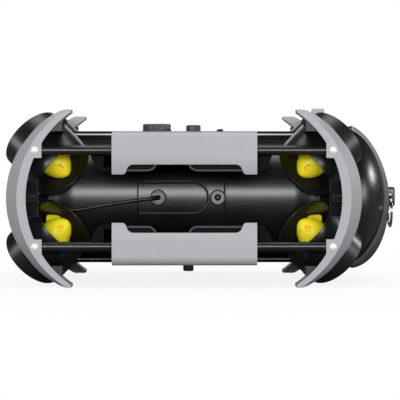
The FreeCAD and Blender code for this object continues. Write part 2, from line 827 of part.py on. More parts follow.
def make_propeller():
    """Pointed hub with three broad pitched blades, three oval recesses and a shaft bore."""
    tip = -duct_length / 2 - hub_tip_past_lip
    shoulder = tip + hub_dome
    base = Vector(0, 0, -propeller_gap)
    base_rim = Vector(hub_radius, 0, -propeller_gap)
    dome_foot = Vector(hub_radius, 0, shoulder)
    bulge = Vector(hub_radius * hub_bulge_radius, 0, tip + hub_dome * hub_bulge_height)
    tip_rim = Vector(hub_tip_flat, 0, tip)
    tip_middle = Vector(0, 0, tip)
    edges = [
        Part.LineSegment(base, base_rim).toShape(),
        Part.LineSegment(base_rim, dome_foot).toShape(),
        Part.Arc(dome_foot, bulge, tip_rim).toShape(),
        Part.LineSegment(tip_rim, tip_middle).toShape(),
        Part.LineSegment(tip_middle, base).toShape(),
    ]
    hub = Part.Face(Part.Wire(edges)).revolve(ORIGIN, Z_AXIS, 360)
    blade_middle = (hub_radius + blade_radius) / 2
    stations = [blade_section(radius) for radius in (hub_radius - 3, blade_middle, blade_radius + 2)]
    blade = Part.makeLoft(stations, True, True)
    blade = blade.common(rod(blade_radius, Vector(0, 0, tip), Vector(0, 0, -propeller_gap)))
    propeller = hub.fuse(spun(blade, blade_count, blade_start_angle))
    recess_z = tip + hub_recess_x
    recess = Vector(hub_radius * hub_recess_inset, 0, recess_z)
    reach = Y_AXIS * hub_recess_depth
    groove = rod(hub_recess_radius, recess - reach, recess + reach)
    for copy in spun(groove, blade_count):
        propeller = propeller.cut(copy)
    bore = rod(shaft_radius + running_fit, Vector(0, 0, 1), Vector(0, 0, -shaft_length - seat_gap))
    return placed(propeller.cut(bore))


def make_clip(guard):
    """Clip between the lower tip of the front near guard and its duct."""
    x0 = -clip_x - clip_half
    z0 = -clip_z - clip_half
    clip = block(x0, x0 + 2 * clip_half, -plate_back_y, thruster_y, z0, z0 + 2 * clip_half)
    clip = clip.cut(duct_space).cut(guard)
    return max(clip.Solids, key=lambda solid: solid.Volume)


def dome_point(reach, radius, power, angle):
    """Point of a superellipse about the middle of the cap: angle 0 is the tip, 90 the rim."""
    x = cap_centre_x + reach * math.cos(math.radians(angle)) ** (2 / power)
    return Vector(x, 0, radius * math.sin(math.radians(angle)) ** (2 / power))


def dome_curve(reach, radius, power, side=1):
    """Spline from the rim to the tip of such a superellipse, above or below the axis."""
    points = []
    for angle in dome_angles:
        point = dome_point(reach, radius, power, angle)
        points.append(Vector(point.x, 0, side * point.z))
    curve = Part.BSplineCurve()
    curve.interpolate(points)
    return curve, points


def dome_solid(inset, skirt_start):
    """Cap form: a skirt, a flare and a dome, all moved inwards by inset."""
    curve, points = dome_curve(cap_reach - inset, cap_radius - inset, cap_power)
    skirt = cap_skirt_radius - inset
    start = Vector(skirt_start, 0, skirt)
    flare = Vector(cap_skirt_end, 0, skirt)
    rim = points[0]
    along_x = flare.x + (rim.x - flare.x) * flare_turn_x
    middle = Vector(along_x, 0, flare.z + (rim.z - flare.z) * flare_turn_radius)
    edges = [
        Part.LineSegment(Vector(skirt_start, 0, 0), start).toShape(),
        Part.LineSegment(start, flare).toShape(),
        Part.LineSegment(flare, middle).toShape(),
        Part.LineSegment(middle, rim).toShape(),
        curve.toShape(),
        Part.LineSegment(points[-1], Vector(skirt_start, 0, 0)).toShape(),
    ]
    return Part.Face(Part.Wire(edges)).revolve(ORIGIN, X_AXIS, 360)


cap_start = hull_rear + seal_gap
cap_outer = dome_solid(0, cap_start)
spigot_start = hull_rear - cap_spigot
spigot_radius = hull_bore - cap_slide_fit


def make_cap():
    """Battery cap: a hollow dome with a spigot that enters the hull and two seal grooves."""
    cap = cap_outer.cut(dome_solid(cap_wall, cap_start + cap_wall))
    foot = Vector(spigot_start, 0, 0)
    spigot = tube(spigot_radius, spigot_radius - cap_wall, foot, Vector(cap_start + cap_wall, 0, 0))
    cap = cap.fuse(spigot).removeSplitter()
    for x in seal_places():
        start = Vector(x - seal_section, 0, 0)
        end = Vector(x + seal_section, 0, 0)
        cap = cap.cut(tube(hull_bore, hull_bore - running_fit - 2 * seal_section, start, end))
    return cap


def seal_places():
    """Places along the spigot of the two O-rings."""
    return [spigot_start + cap_spigot * share for share in seal_shares]


def make_seal(x):
    """O-ring in its groove, just clear of the bore."""
    centre_radius = hull_bore - running_fit - seal_section
    return Part.makeTorus(centre_radius, seal_section, Vector(x, 0, 0), X_AXIS)


def make_band():
    """Raised band over the cap with the eye of the pull ring."""
    reach, radius = cap_reach + band_proud, cap_radius + band_proud
    top, top_points = dome_curve(reach, radius, band_top_power)
    bottom, bottom_points = dome_curve(reach, radius, band_bottom_power, -1)
    edges = [
        top.toShape(),
        bottom.toShape(),
        Part.LineSegment(top_points[0], bottom_points[0]).toShape(),
    ]
    face = Part.Face(Part.Wire(Part.__sortEdges__(edges)))
    face.translate(Vector(0, -band_half_width, 0))
    band = face.extrude(Vector(0, 2 * band_half_width, 0))
    start = cap_centre_x + band_start
    band = band.common(block(start, beyond, -beyond, beyond, -beyond, beyond))
    root = cap_centre_x + cap_reach - eye_root
    eye = block(root, eye_end_x, -eye_half_width, eye_half_width, eye_bottom, eye_top)
    outermost = lambda edge: edge.BoundBox.XMin > eye_end_x - 0.01 and edge.BoundBox.YLength > 1
    eye = rounded(eye, eye_rounding, outermost)
    middle = Vector(ring_x, 0, eye_hole_z)
    hole = rod(eye_hole_radius, middle - Y_AXIS * 2 * eye_half_width, middle + Y_AXIS * 2 * eye_half_width)
    band = band.fuse(eye).cut(hole).cut(cap_outer)
    return max(band.Solids, key=lambda solid: solid.Volume)


def make_ring():
    """Steel ring hanging in the eye."""
    return Part.makeTorus(ring_radius, ring_wire, Vector(ring_x, 0, eye_hole_z - ring_radius), X_AXIS)


def make_pack():
    """Battery pack with a guide collar at each end."""
    end = spigot_start - seat_gap
    pack = rod(pack_radius, Vector(pack_front, 0, 0), Vector(end, 0, 0))
    for x in (pack_front, end - pack_collar):
        pack = pack.fuse(rod(spigot_radius, Vector(x, 0, 0), Vector(x + pack_collar, 0, 0)))
    return pack.removeSplitter()


def make_knob(x, radius, seat, end, spigot, depth, flutes):
    """Knurled cap or knob standing on a seat, with its spigot in a bore."""
    body = rod(radius, Vector(x, 0, seat + seat_gap), Vector(x, 0, end))
    body = rounded(body, flute_radius, lambda edge: edge.BoundBox.ZMin > end - 0.01)
    for i in range(flutes):
        angle = 2 * math.pi * i / flutes
        reach = radius + flute_radius / 2
        place = Vector(x + reach * math.cos(angle), reach * math.sin(angle), seat)
        body = body.cut(rod(flute_radius, place, place + Z_AXIS * (end - seat + 1)))
    stem = rod(spigot - spigot_fit, Vector(x, 0, seat - depth), Vector(x, 0, seat + 1))
    return body.fuse(stem).removeSplitter()


def make_switch():
    """Slide switch: a sloped button on a stem in its slot."""
    half = switch_length / 2
    seat = rail_height + seat_gap
    top = rail_height + switch_height
    profile = [
        Vector(switch_x - half, -switch_half_width, seat),
        Vector(switch_x - half + switch_slope, -switch_half_width, top),
        Vector(switch_x + half, -switch_half_width, top),
        Vector(switch_x + half, -switch_half_width, seat),
    ]
    button = prism(profile, Vector(0, 2 * switch_half_width, 0))
    side = switch_half_width / 2
    stem_end = rail_height - rail_proud + 1.5
    stem = block(switch_x - half, switch_x + half, -side, side, stem_end, seat + 0.5)
    return button.fuse(stem).removeSplitter()


def make_vent():
    """Vent plug on the collar: a ring with a dark centre hole."""
    face = -hull_radius - collar_proud - vent_height
    plug = rod(vent_radius, Vector(vent_x, face, 0), Vector(vent_x, -hull_radius, 0))
    plug = plug.cut(rod(vent_hole_radius, Vector(vent_x, face - 1, 0), Vector(vent_x, face + vent_height, 0)))
    return plug.cut(collar_envelope)


# route of the side lead, from the gland on the collar to the gland on the nose
lead_points = [
    Vector(-31.0, -hull_radius - 3.9, -1.0),
    Vector(-55.0, -hull_radius - 4.1, -3.8),
    Vector(-81.0, -hull_radius - 3.1, -8.4),
    Vector(-106.0, -hull_radius - 0.5, -12.6),
    Vector(-117.5, -hull_radius + 0.7, -10.0),
    Vector(-126.0, -hull_radius + 1.5, -6.0),
]


def make_lead():
    """Side lead: straight runs joined by tangent arcs, with a round section."""
    edges = []
    cursor = lead_points[0]
    for i in range(1, len(lead_points) - 1):
        before, corner, after = lead_points[i - 1], lead_points[i], lead_points[i + 1]
        run = min((corner - before).Length, (after - corner).Length)
        turn = (corner - before).getAngle(after - corner)
        radius = bend_share * run / math.tan(turn / 2)
        start, middle, end = round_corner(before, corner, after, radius)
        edges.append(Part.LineSegment(cursor, start).toShape())
        edges.append(Part.Arc(start, middle, end).toShape())
        cursor = end
        print("side lead bend radius", round(radius, 1))
    edges.append(Part.LineSegment(cursor, lead_points[-1]).toShape())
    path = Part.Wire(edges)
    way = lead_points[1] - lead_points[0]
    section = Part.Wire(Part.Circle(lead_points[0], way, lead_radius).toShape())
    lead = path.makePipeShell([section], True, True)
    full = math.pi * lead_radius ** 2 * path.Length
    print("side lead length", round(path.Length, 1))
    print("side lead volume over section times length", round(lead.Volume / full, 4))
    return lead


def make_gland(lead):
    """Round lead gland in the channel, with a short boot that points along the lead."""
    face = -hull_radius - gland_height
    gland = rod(gland_radius, Vector(gland_x, face, 0), Vector(gland_x, -hull_radius + 1, 0))
    gland = rounded(gland, gland_rounding, lambda edge: edge.BoundBox.YMax < face + 0.01)
    exit_point = lead_points[0]
    way = (exit_point - lead_points[1]).normalize()
    boot_end = exit_point + way * (gland_x - exit_point.x)
    boot = rod(gland_boot_radius, exit_point, boot_end).fuse(Part.makeSphere(gland_boot_radius, boot_end))
    return gland.fuse(boot).cut(hull_solid).cut(lead).removeSplitter()


def make_nose_gland(lead):
    """Small gland on the nose that the lead enters."""
    end = lead_points[-1]
    half = nose_gland_half
    face = -hull_radius - nose_gland_proud
    root = nose_gland_root - bezel_radius
    body = block(end.x - nose_gland_length, end.x, face, root, end.z - half, end.z + half)
    near = lambda edge: edge.BoundBox.YMax < face + 0.1 and edge.BoundBox.XLength > 1
    body = rounded(body, nose_gland_rounding, near)
    nose = rod(bezel_radius, Vector(-beyond, 0, 0), Vector(-hull_front, 0, 0))
    return body.cut(nose).cut(hull_solid).cut(lead)


def make_tether_lug():
    """Grey lug on the rear top of the hull, with the fore-and-aft hole of the tether's shackle."""
    x0, x1 = tether_x - tether_half_length, tether_x + tether_half_length
    side = tether_half_width
    lug = block(x0, x1, -side, side, 0, tether_top)
    lug = rounded(lug, tether_rounding, lambda edge: edge.BoundBox.ZMin > tether_top - 0.01)
    side = tether_flange_half
    lug = lug.fuse(block(x0, x1, -side, side, 0, hull_end_radius + tether_flange_proud))
    start = Vector(x0 - 1, 0, tether_hole_z)
    lug = lug.cut(rod(tether_hole_radius, start, Vector(x1 + 1, 0, tether_hole_z)))
    ring_start = Vector(bolt_x + frame_ring_past_bolt - frame_ring_width, 0, 0)
    lug = lug.cut(rod(hull_end_radius + frame_ring_wall, ring_start, Vector(beyond, 0, 0))).cut(hull_solid)
    return max(lug.Solids, key=lambda solid: solid.BoundBox.ZMax)


def make_board():
    """Circuit board slid into the bore, with its taller parts."""
    half = math.sqrt(hull_bore ** 2 - board_z ** 2) - board_fit
    top = board_z + board_thickness
    board = block(-board_front, -board_rear, -half, half, board_z, top)
    length = board_front - board_rear
    for start, width, height in board_parts:
        x = -board_front + length * start
        board = board.fuse(block(x, x + length * width, -half / 2, half / 2, top, top + height))
    return board.removeSplitter()


def quadrants(shape, far, low):
    """A near upper or near front piece mirrored to the far side (far) and below (low)."""
    if far:
        shape = flip(shape, Y_AXIS)
    return flip(shape, Z_AXIS) if low else shape


def main():
    os.makedirs("parts", exist_ok=True)
    export("hull_tube", make_hull())
    export("mid_collar", make_collar())
    export("top_rail", make_top_rail())
    export("keel_rail", make_keel_rail())
    export("front_bezel", make_bezel())
    export("camera_window", make_window())
    export("camera_module", make_camera())
    export("camera_lens", make_lens())
    export("lamp_housings", make_lamp(-1), make_lamp(1))
    export("lamp_lenses", make_lamp_lens(-1), make_lamp_lens(1))
    export("circuit_board", make_board())

    guard = make_guard()
    tube_piece, shell, cradle = make_tube(guard), make_shell(), make_cradle()
    for level, low in (("upper", False), ("lower", True)):
        for side, far in (("near", False), ("far", True)):
            export(f"corner_tube_{level}_{side}", quadrants(tube_piece, far, low))
            export(f"side_shell_{level}_{side}", quadrants(shell, far, low))
        export(f"cradles_{level}", quadrants(cradle, False, low), quadrants(cradle, True, low))

    clip = make_clip(guard)
    front_frame = make_end_frame(bezel_radius)
    rear_frame = flip(make_end_frame(hull_end_radius), X_AXIS)
    export("end_frame_front", front_frame)
    export("end_frame_rear", rear_frame)
    duct, motor, propeller = make_duct(), make_motor(), make_propeller()
    motors, clips, bolts = [], [], []
    for end, rear in (("front", False), ("rear", True)):
        for side, far in (("near", False), ("far", True)):
            turned_guard = quadrants(guard, far, False)
            export(f"end_guard_{end}_{side}", flip(turned_guard, X_AXIS) if rear else turned_guard)
            for level, high in (("upper", True), ("lower", False)):
                copies = []
                for piece in (duct, motor, propeller, clip):
                    copy = quadrants(piece, far, high)
                    copies.append(flip(copy, X_AXIS) if rear else copy)
                export(f"duct_{end}_{side}_{level}", copies[0])
                export(f"propeller_{end}_{side}_{level}", copies[2])
                motors.append(copies[1])
                clips.append(copies[3])
                x = bolt_x if rear else -bolt_x
                bolts.append(make_bolt(x, 1 if far else -1, corner_z if high else -corner_z))
    export("motor_pods", *motors)
    export("duct_clips", *clips)
    export("guard_bolts", *bolts)

    export("battery_pack", make_pack())
    export("battery_cap", make_cap())
    export("cap_seals", *[make_seal(x) for x in seal_places()])
    export("cap_band", make_band())
    export("pull_ring", make_ring())
    depth = rail_proud - seat_gap
    seat = rail_height
    top = seat + port_cap_height
    cap = make_knob(port_cap_x, port_cap_radius, seat, top, port_bore_radius, depth, port_cap_flutes)
    export("port_cap", cap)
    bore = small_knob_radius * knob_spigot_share
    top = seat + small_knob_height
    knob = make_knob(small_knob_x, small_knob_radius, seat, top, bore, depth, small_knob_flutes)
    export("small_knob", knob)
    bore = keel_plug_radius * knob_spigot_share
    top = seat + keel_plug_height
    plug = make_knob(keel_plug_x, keel_plug_radius, seat, top, bore, depth, keel_plug_flutes)
    export("keel_plug", flip(plug, Z_AXIS))
    export("slide_switch", make_switch())
    export("vent_plug", make_vent())
    lead = make_lead()
    export("lead_glands", make_gland(lead), make_nose_gland(lead))
    export("side_lead", lead)
    export("tether_lug", make_tether_lug())


main()
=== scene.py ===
import bpy
import json
import math
from mathutils import Matrix, Vector

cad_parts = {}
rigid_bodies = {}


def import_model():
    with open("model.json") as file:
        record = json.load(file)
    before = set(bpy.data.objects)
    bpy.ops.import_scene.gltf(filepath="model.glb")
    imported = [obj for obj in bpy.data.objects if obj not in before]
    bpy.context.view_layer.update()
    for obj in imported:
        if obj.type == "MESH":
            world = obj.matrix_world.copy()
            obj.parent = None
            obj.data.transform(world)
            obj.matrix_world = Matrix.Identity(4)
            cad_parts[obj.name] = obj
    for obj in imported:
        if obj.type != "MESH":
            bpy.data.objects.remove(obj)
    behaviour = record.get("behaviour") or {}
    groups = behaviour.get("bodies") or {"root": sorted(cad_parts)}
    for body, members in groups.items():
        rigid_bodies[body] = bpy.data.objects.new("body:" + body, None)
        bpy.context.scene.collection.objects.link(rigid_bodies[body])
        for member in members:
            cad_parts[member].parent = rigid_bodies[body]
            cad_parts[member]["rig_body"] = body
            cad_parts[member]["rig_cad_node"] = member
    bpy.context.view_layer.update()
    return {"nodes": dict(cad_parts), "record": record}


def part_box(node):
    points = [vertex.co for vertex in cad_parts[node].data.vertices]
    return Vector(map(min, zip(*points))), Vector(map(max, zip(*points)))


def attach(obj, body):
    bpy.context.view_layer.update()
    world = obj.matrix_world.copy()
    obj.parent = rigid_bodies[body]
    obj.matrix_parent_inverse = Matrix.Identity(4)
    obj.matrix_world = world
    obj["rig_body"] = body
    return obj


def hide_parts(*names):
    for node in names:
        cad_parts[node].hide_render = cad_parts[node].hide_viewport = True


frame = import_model()
print("frame loaded,", len(frame["nodes"]), "nodes")


# small tools for modelling

def objectMode():
    bpy.ops.object.mode_set(mode="OBJECT")


def meshMode():
    bpy.ops.object.mode_set(mode="EDIT")


def selectAll():
    bpy.ops.mesh.select_all(action="SELECT")


def deselectAll():
    bpy.ops.object.select_all(action="DESELECT")


def pick(obj):
    deselectAll()
    obj.select_set(True)
    bpy.context.view_layer.objects.active = obj


def settle(obj):
    pick(obj)
    bpy.ops.object.transform_apply(location=True, rotation=True, scale=True)
    return obj


def turnedBy(obj, turn):
    obj.rotation_euler = (0, 0, turn)
    return settle(obj)


def newest(name):
    obj = bpy.context.object
    obj.name = name
    return obj


# leaves the object in object mode with nothing of its mesh selected
def clearChoice(obj, kind):
    pick(obj)
    meshMode()
    bpy.ops.mesh.select_mode(type=kind)
    bpy.ops.mesh.select_all(action="DESELECT")
    objectMode()


def chooseFaces(obj, test):
    clearChoice(obj, "FACE")
    for face in obj.data.polygons:
        face.select = test(face)
    meshMode()


def extrude(step):
    bpy.ops.mesh.extrude_region_move(TRANSFORM_OT_translate={"value": step})


def faceOutwards():
    selectAll()
    bpy.ops.mesh.normals_make_consistent(inside=False)
    objectMode()


def useModifier(obj, kind, **values):
    pick(obj)
    modifier = obj.modifiers.new(kind.lower(), kind)
    for key, value in values.items():
        setattr(modifier, key, value)
    bpy.ops.object.modifier_apply(modifier=modifier.name)


def carve(piece, cutter, operation="DIFFERENCE"):
    useModifier(piece, "BOOLEAN", operation=operation, object=cutter, solver="EXACT")
    bpy.data.objects.remove(cutter)


def smooth(obj, angle=35):
    pick(obj)
    bpy.ops.object.shade_smooth_by_angle(angle=math.radians(angle))


def joined(objs, name):
    deselectAll()
    for obj in objs:
        obj.select_set(True)
    bpy.context.view_layer.objects.active = objs[0]
    bpy.ops.object.join()
    return newest(name)


def addToScene(name, data):
    obj = bpy.data.objects.new(name, data)
    bpy.context.scene.collection.objects.link(obj)
    return obj


def copyOf(obj, name):
    twin = obj.copy()
    twin.data = obj.data.copy()
    twin.name = name
    twin.parent = None
    bpy.context.scene.collection.objects.link(twin)
    return twin


def dress(obj, material):
    obj.data.materials.clear()
    obj.data.materials.append(material)


def place(obj, body, look, slotName, nodes=()):
    dress(obj, surfaces[look])
    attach(obj, body)
    if nodes:
        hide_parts(*nodes)


# shared node groups: each takes a position and some numbers

def newGroup(name, numbers, outputs):
    group = bpy.data.node_groups.new(name, "ShaderNodeTree")
    group.interface.new_socket("Position", in_out="INPUT", socket_type="NodeSocketVector")
    for label, default in numbers.items():
        socket = group.interface.new_socket(label, in_out="INPUT", socket_type="NodeSocketFloat")
        socket.default_value = default
    for label, kind in outputs.items():
        group.interface.new_socket(label, in_out="OUTPUT", socket_type="NodeSocket" + kind)
    return group, group.nodes.new("NodeGroupInput"), group.nodes.new("NodeGroupOutput")


# a value is a number, a colour or the output of another node
def setInput(node, socket, value):
    if isinstance(value, bpy.types.NodeSocket):
        node.id_data.links.new(value, socket)
    else:
        socket.default_value = value


def setInputs(node, values):
    for label, value in values.items():
        setInput(node, node.inputs[label], value)


def addNode(tree, kind, **values):
    node = tree.nodes.new(kind)
    for key, value in values.items():
        if key in node.inputs:
            setInput(node, node.inputs[key], value)
        else:
            setattr(node, key, value)
    return node


def combine(tree, kind, *sources, **settings):
    node = addNode(tree, kind, **settings)
    for socket, value in zip(node.inputs, sources):
        setInput(node, socket, value)
    return node.outputs[0]


def calculate(tree, operation, first, second, clamp=False):
    return combine(tree, "ShaderNodeMath", first, second, operation=operation, use_clamp=clamp)


# fine moulding grain, as a bump normal
def makeGrainGroup():
    group, entry, leave = newGroup("mouldedGrain", {"Scale": 900.0, "Depth": 0.2}, {"Normal": "Vector"})
    position, scale = entry.outputs["Position"], entry.outputs["Scale"]
    grain = addNode(group, "ShaderNodeTexNoise", Vector=position, Scale=scale, Detail=2.0, Roughness=0.6)
    pits = addNode(group, "ShaderNodeTexVoronoi", Vector=position, Scale=scale)
    height = calculate(group, "ADD", grain.outputs[0], pits.outputs["Distance"])
    bump = addNode(group, "ShaderNodeBump", Strength=entry.outputs["Depth"], Height=height, Distance=0.0001)
    setInputs(leave, {"Normal": bump.outputs["Normal"]})
    return group


# rubbed edges, in blackShade also a painted highlight: where a rounded normal leaves the true one
def makeEdgeGroup():
    group, entry, leave = newGroup("edgeWearAndHighlight", {"Width": 0.0008, "Amount": 1.0}, {"Mask": "Float"})
    soft = addNode(group, "ShaderNodeBevel", samples=4, Radius=entry.outputs["Width"])
    true = addNode(group, "ShaderNodeNewGeometry")
    dot = addNode(group, "ShaderNodeVectorMath", operation="DOT_PRODUCT")
    setInput(dot, dot.inputs[0], soft.outputs[0])
    setInput(dot, dot.inputs[1], true.outputs["Normal"])
    bend = calculate(group, "SUBTRACT", 1.0, dot.outputs["Value"])
    patches = addNode(group, "ShaderNodeTexNoise", Vector=entry.outputs["Position"], Scale=160.0, Detail=3.0)
    broken = calculate(group, "MULTIPLY", bend, patches.outputs[0])
    setInputs(leave, {"Mask": calculate(group, "MULTIPLY", broken, entry.outputs["Amount"], clamp=True)})
    return group


# handling marks: broad smudges and a few fine scratches, for roughness and tone
scratchLine = {"turn": (0.3, 0.5, 0.4), "stretch": (40.0, 900.0, 260.0), "from": 0.66, "gain": 8.0}


def makeMarksGroup():
    group, entry, leave = newGroup("handlingMarks", {"Scale": 14.0}, {"Smudge": "Float", "Scratch": "Float"})
    position, line = entry.outputs["Position"], scratchLine
    smudge = addNode(group, "ShaderNodeTexNoise", Vector=position, Scale=entry.outputs["Scale"],
                     Detail=4.0, Roughness=0.62, Distortion=0.8)
    stretch = addNode(group, "ShaderNodeMapping", Vector=position, Rotation=line["turn"],
                      Scale=line["stretch"])
    hair = addNode(group, "ShaderNodeTexNoise", Vector=stretch.outputs[0], Scale=1.0, Detail=1.0)
    above = calculate(group, "SUBTRACT", hair.outputs[0], line["from"])
    scratch = calculate(group, "MULTIPLY", above, line["gain"], clamp=True)
    setInputs(leave, {"Smudge": smudge.outputs[0], "Scratch": scratch})
    return group


grainGroup = makeGrainGroup()
edgeGroup = makeEdgeGroup()
marksGroup = makeMarksGroup()
print("node groups made")


def useGroup(tree, group, position, **values):
    node = addNode(tree, "ShaderNodeGroup", node_tree=group)
    setInputs(node, {"Position": position, **values})
    return node


def mixColour(tree, mask, first, second):
    node = addNode(tree, "ShaderNodeMix", data_type="RGBA", Factor=mask)
    for key, value in (("A", first), ("B", second)):
        socket = [s for s in node.inputs if s.name == key and s.type == "RGBA"][0]
        setInput(node, socket, (*value, 1.0) if isinstance(value, tuple) else value)
    return [s for s in node.outputs if s.type == "RGBA"][0]


def ranged(tree, value, low, high, start=0.3, end=0.7):
    node = tree.nodes.new("ShaderNodeMapRange")
    setInputs(node, {"Value": value, "From Min": start, "From Max": end, "To Min": low, "To Max": high})
    return node.outputs[0]


def newMaterial(name):
    material = bpy.data.materials.new(name)
    material.use_nodes = True
    tree = material.node_tree
    position = tree.nodes.new("ShaderNodeTexCoord").outputs["Object"]
    return material, tree, tree.nodes["Principled BSDF"], position


# what a look has where it says nothing itself
plainLook = {"edgeWidth": 0.0008, "edgeAmount": 1.0, "scratch": 0.08, "metallic": 0.0, "specular": 0.5,
             "subsurface": 0.0, "scatter": 0.002}


# a moulded or coated surface: two tones by smudges, pale edges that are rubbed wear and in blackShade also a
# painted highlight, painted shade in the hub's recesses and a painted highlight on the cradles' rims read
# from the piece's own attribute, a painted glow for the yellow, grain and roughness that varies
def makeSurface(name, ownLook):
    look = {**plainLook, **ownLook}
    grainScale, grainDepth = look["grain"]
    material, tree, shader, position = newMaterial(name)
    grain = useGroup(tree, grainGroup, position, Scale=grainScale, Depth=grainDepth)
    marks = useGroup(tree, marksGroup, position)
    edges = useGroup(tree, edgeGroup, position, Width=look["edgeWidth"], Amount=look["edgeAmount"])
    toneMask = ranged(tree, marks.outputs["Smudge"], 0.0, 1.0)
    tone = mixColour(tree, toneMask, look["colour"], look["second"])
    # painted shade in the hub's recesses and a painted highlight on the cradles' rims, read from the piece's
    # own attribute
    if "paintedShadeAndHighlight" in look:
        marked = addNode(tree, "ShaderNodeAttribute", attribute_name="paintedShadeAndHighlight")
        tone = mixColour(tree, marked.outputs["Fac"], tone, look["paintedShadeAndHighlight"])
    # pale edges: rubbed wear, and in blackShade also a painted highlight
    wearAndHighlight = mixColour(tree, edges.outputs["Mask"], tone, look["edge"])
    rough = ranged(tree, marks.outputs["Smudge"], *look["rough"])
    scratched = calculate(tree, "MULTIPLY", marks.outputs["Scratch"], look["scratch"])
    total = calculate(tree, "ADD", rough, scratched, clamp=True)
    setInputs(shader, {"Base Color": wearAndHighlight, "Roughness": total, "Normal": grain.outputs["Normal"],
                       "Metallic": look["metallic"], "Specular IOR Level": look["specular"],
                       "Subsurface Weight": look["subsurface"], "Subsurface Scale": look["scatter"]})
    if "paintedGlow" in look:  # painted light: a glow that lifts the hubs out of the ducts' shade, though they are no lamp
        setInputs(shader, {"Emission Color": tone, "Emission Strength": look["paintedGlow"]})
    return material


# colours are linear, roughness runs from low to high over the smudges, and grain is its scale and depth
looks = {
    "blackSatin": dict(colour=(0.004, 0.004, 0.0045), second=(0.006, 0.006, 0.0065),
        edge=(0.1, 0.1, 0.11), rough=(0.27, 0.29), grain=(1500.0, 0.03), edgeAmount=0.25, specular=0.84,
        scratch=0.004),
    "blackMoulded": dict(colour=(0.005, 0.005, 0.0055), second=(0.0075, 0.0075, 0.008),
        edge=(0.14, 0.14, 0.15), rough=(0.34, 0.44), grain=(1300.0, 0.25), edgeAmount=1.6),
    "ductBlack": dict(colour=(0.0045, 0.0045, 0.005), second=(0.0065, 0.0065, 0.007),
        edge=(0.1, 0.1, 0.11), rough=(0.3, 0.36), grain=(1500.0, 0.06), edgeAmount=1.2, specular=0.85),
    # blackShade: its strong pale edges are partly wear and partly a painted highlight along rims
    "blackShade": dict(colour=(0.003, 0.003, 0.0035), second=(0.0045, 0.0045, 0.005),
        edge=(0.2, 0.2, 0.21), rough=(0.4, 0.5), grain=(1300.0, 0.2), edgeAmount=3.0, edgeWidth=0.0009,
        specular=0.07),
    # cradleBlack: the paler tone on the rims of its sunk faces is a painted highlight
    "cradleBlack": dict(colour=(0.003, 0.003, 0.0034), second=(0.0042, 0.0042, 0.0046),
        edge=(0.1, 0.1, 0.11), rough=(0.4, 0.5), grain=(1300.0, 0.15), edgeAmount=1.0, specular=0.05,
        paintedShadeAndHighlight=(0.085, 0.086, 0.09)),
    "blackTube": dict(colour=(0.004, 0.004, 0.0045), second=(0.006, 0.006, 0.0065),
        edge=(0.08, 0.08, 0.09), rough=(0.27, 0.33), grain=(1800.0, 0.06), specular=0.9),
    "greyPlastic": dict(colour=(0.398, 0.408, 0.436), second=(0.428, 0.438, 0.466),
        edge=(0.6, 0.62, 0.65), rough=(0.4, 0.52), grain=(1600.0, 0.16), edgeAmount=1.2),
    # yellowPlastic: the deeper orange is painted shade in the hub's recesses
    "yellowPlastic": dict(colour=(0.95, 0.8, 0.016), second=(0.97, 0.84, 0.024), edge=(0.99, 0.92, 0.16),
        # the glow is painted light that brightens the hubs in the ducts' shade
        rough=(0.3, 0.4), grain=(1800.0, 0.06), subsurface=0.12, paintedShadeAndHighlight=(0.95, 0.58, 0.004), paintedGlow=0.07),
    "motorBlack": dict(colour=(0.015, 0.015, 0.017), second=(0.022, 0.022, 0.024), edge=(0.2, 0.2, 0.2),
        rough=(0.3, 0.42), grain=(1200.0, 0.2), metallic=0.4),
    "domeBlack": dict(colour=(0.003, 0.003, 0.0035), second=(0.0045, 0.0045, 0.005),
        edge=(0.12, 0.12, 0.13), rough=(0.26, 0.3), grain=(2000.0, 0.01), specular=0.9),
    "knobGrey": dict(colour=(0.045, 0.046, 0.05), second=(0.06, 0.061, 0.066), edge=(0.25, 0.25, 0.27),
        rough=(0.34, 0.46), grain=(1500.0, 0.2), edgeAmount=2.0),
    "steel": dict(colour=(0.7, 0.71, 0.73), second=(0.78, 0.79, 0.8), edge=(0.9, 0.9, 0.9),
        rough=(0.12, 0.2), grain=(2500.0, 0.05), metallic=1.0),
    "aluminiumCup": dict(colour=(0.72, 0.73, 0.74), second=(0.8, 0.8, 0.8), edge=(0.9, 0.9, 0.9),
        rough=(0.15, 0.25), grain=(2500.0, 0.05), metallic=1.0),
    "cameraBlack": dict(colour=(0.008, 0.008, 0.008), second=(0.012, 0.012, 0.012), edge=(0.1, 0.1, 0.1),
        rough=(0.5, 0.6), grain=(1500.0, 0.2)),
    "boardGreen": dict(colour=(0.01, 0.09, 0.03), second=(0.012, 0.12, 0.045), edge=(0.3, 0.28, 0.12),
        rough=(0.3, 0.4), grain=(900.0, 0.2)),
    "batteryWrap": dict(colour=(0.03, 0.031, 0.036), second=(0.045, 0.046, 0.052), edge=(0.2, 0.2, 0.2),
        rough=(0.35, 0.5), grain=(1100.0, 0.2)),
    "sealRubber": dict(colour=(0.012, 0.012, 0.012), second=(0.02, 0.02, 0.02), edge=(0.06, 0.06, 0.06),
        rough=(0.55, 0.7), grain=(1300.0, 0.25)),
    "leadRubber": dict(colour=(0.006, 0.006, 0.007), second=(0.01, 0.01, 0.011), edge=(0.08, 0.08, 0.08),
        rough=(0.24, 0.3), grain=(1800.0, 0.08), specular=0.7),
    "ventGrey": dict(colour=(0.2, 0.205, 0.215), second=(0.23, 0.235, 0.245), edge=(0.4, 0.4, 0.42),
        rough=(0.4, 0.5), grain=(1600.0, 0.12)),
    "boltSteel": dict(colour=(0.93, 0.93, 0.94), second=(0.95, 0.95, 0.96), edge=(0.97, 0.97, 0.97),
        rough=(0.34, 0.4), grain=(2500.0, 0.03), metallic=0.15),
}
surfaces = {name: makeSurface(name, look) for name, look in looks.items()}


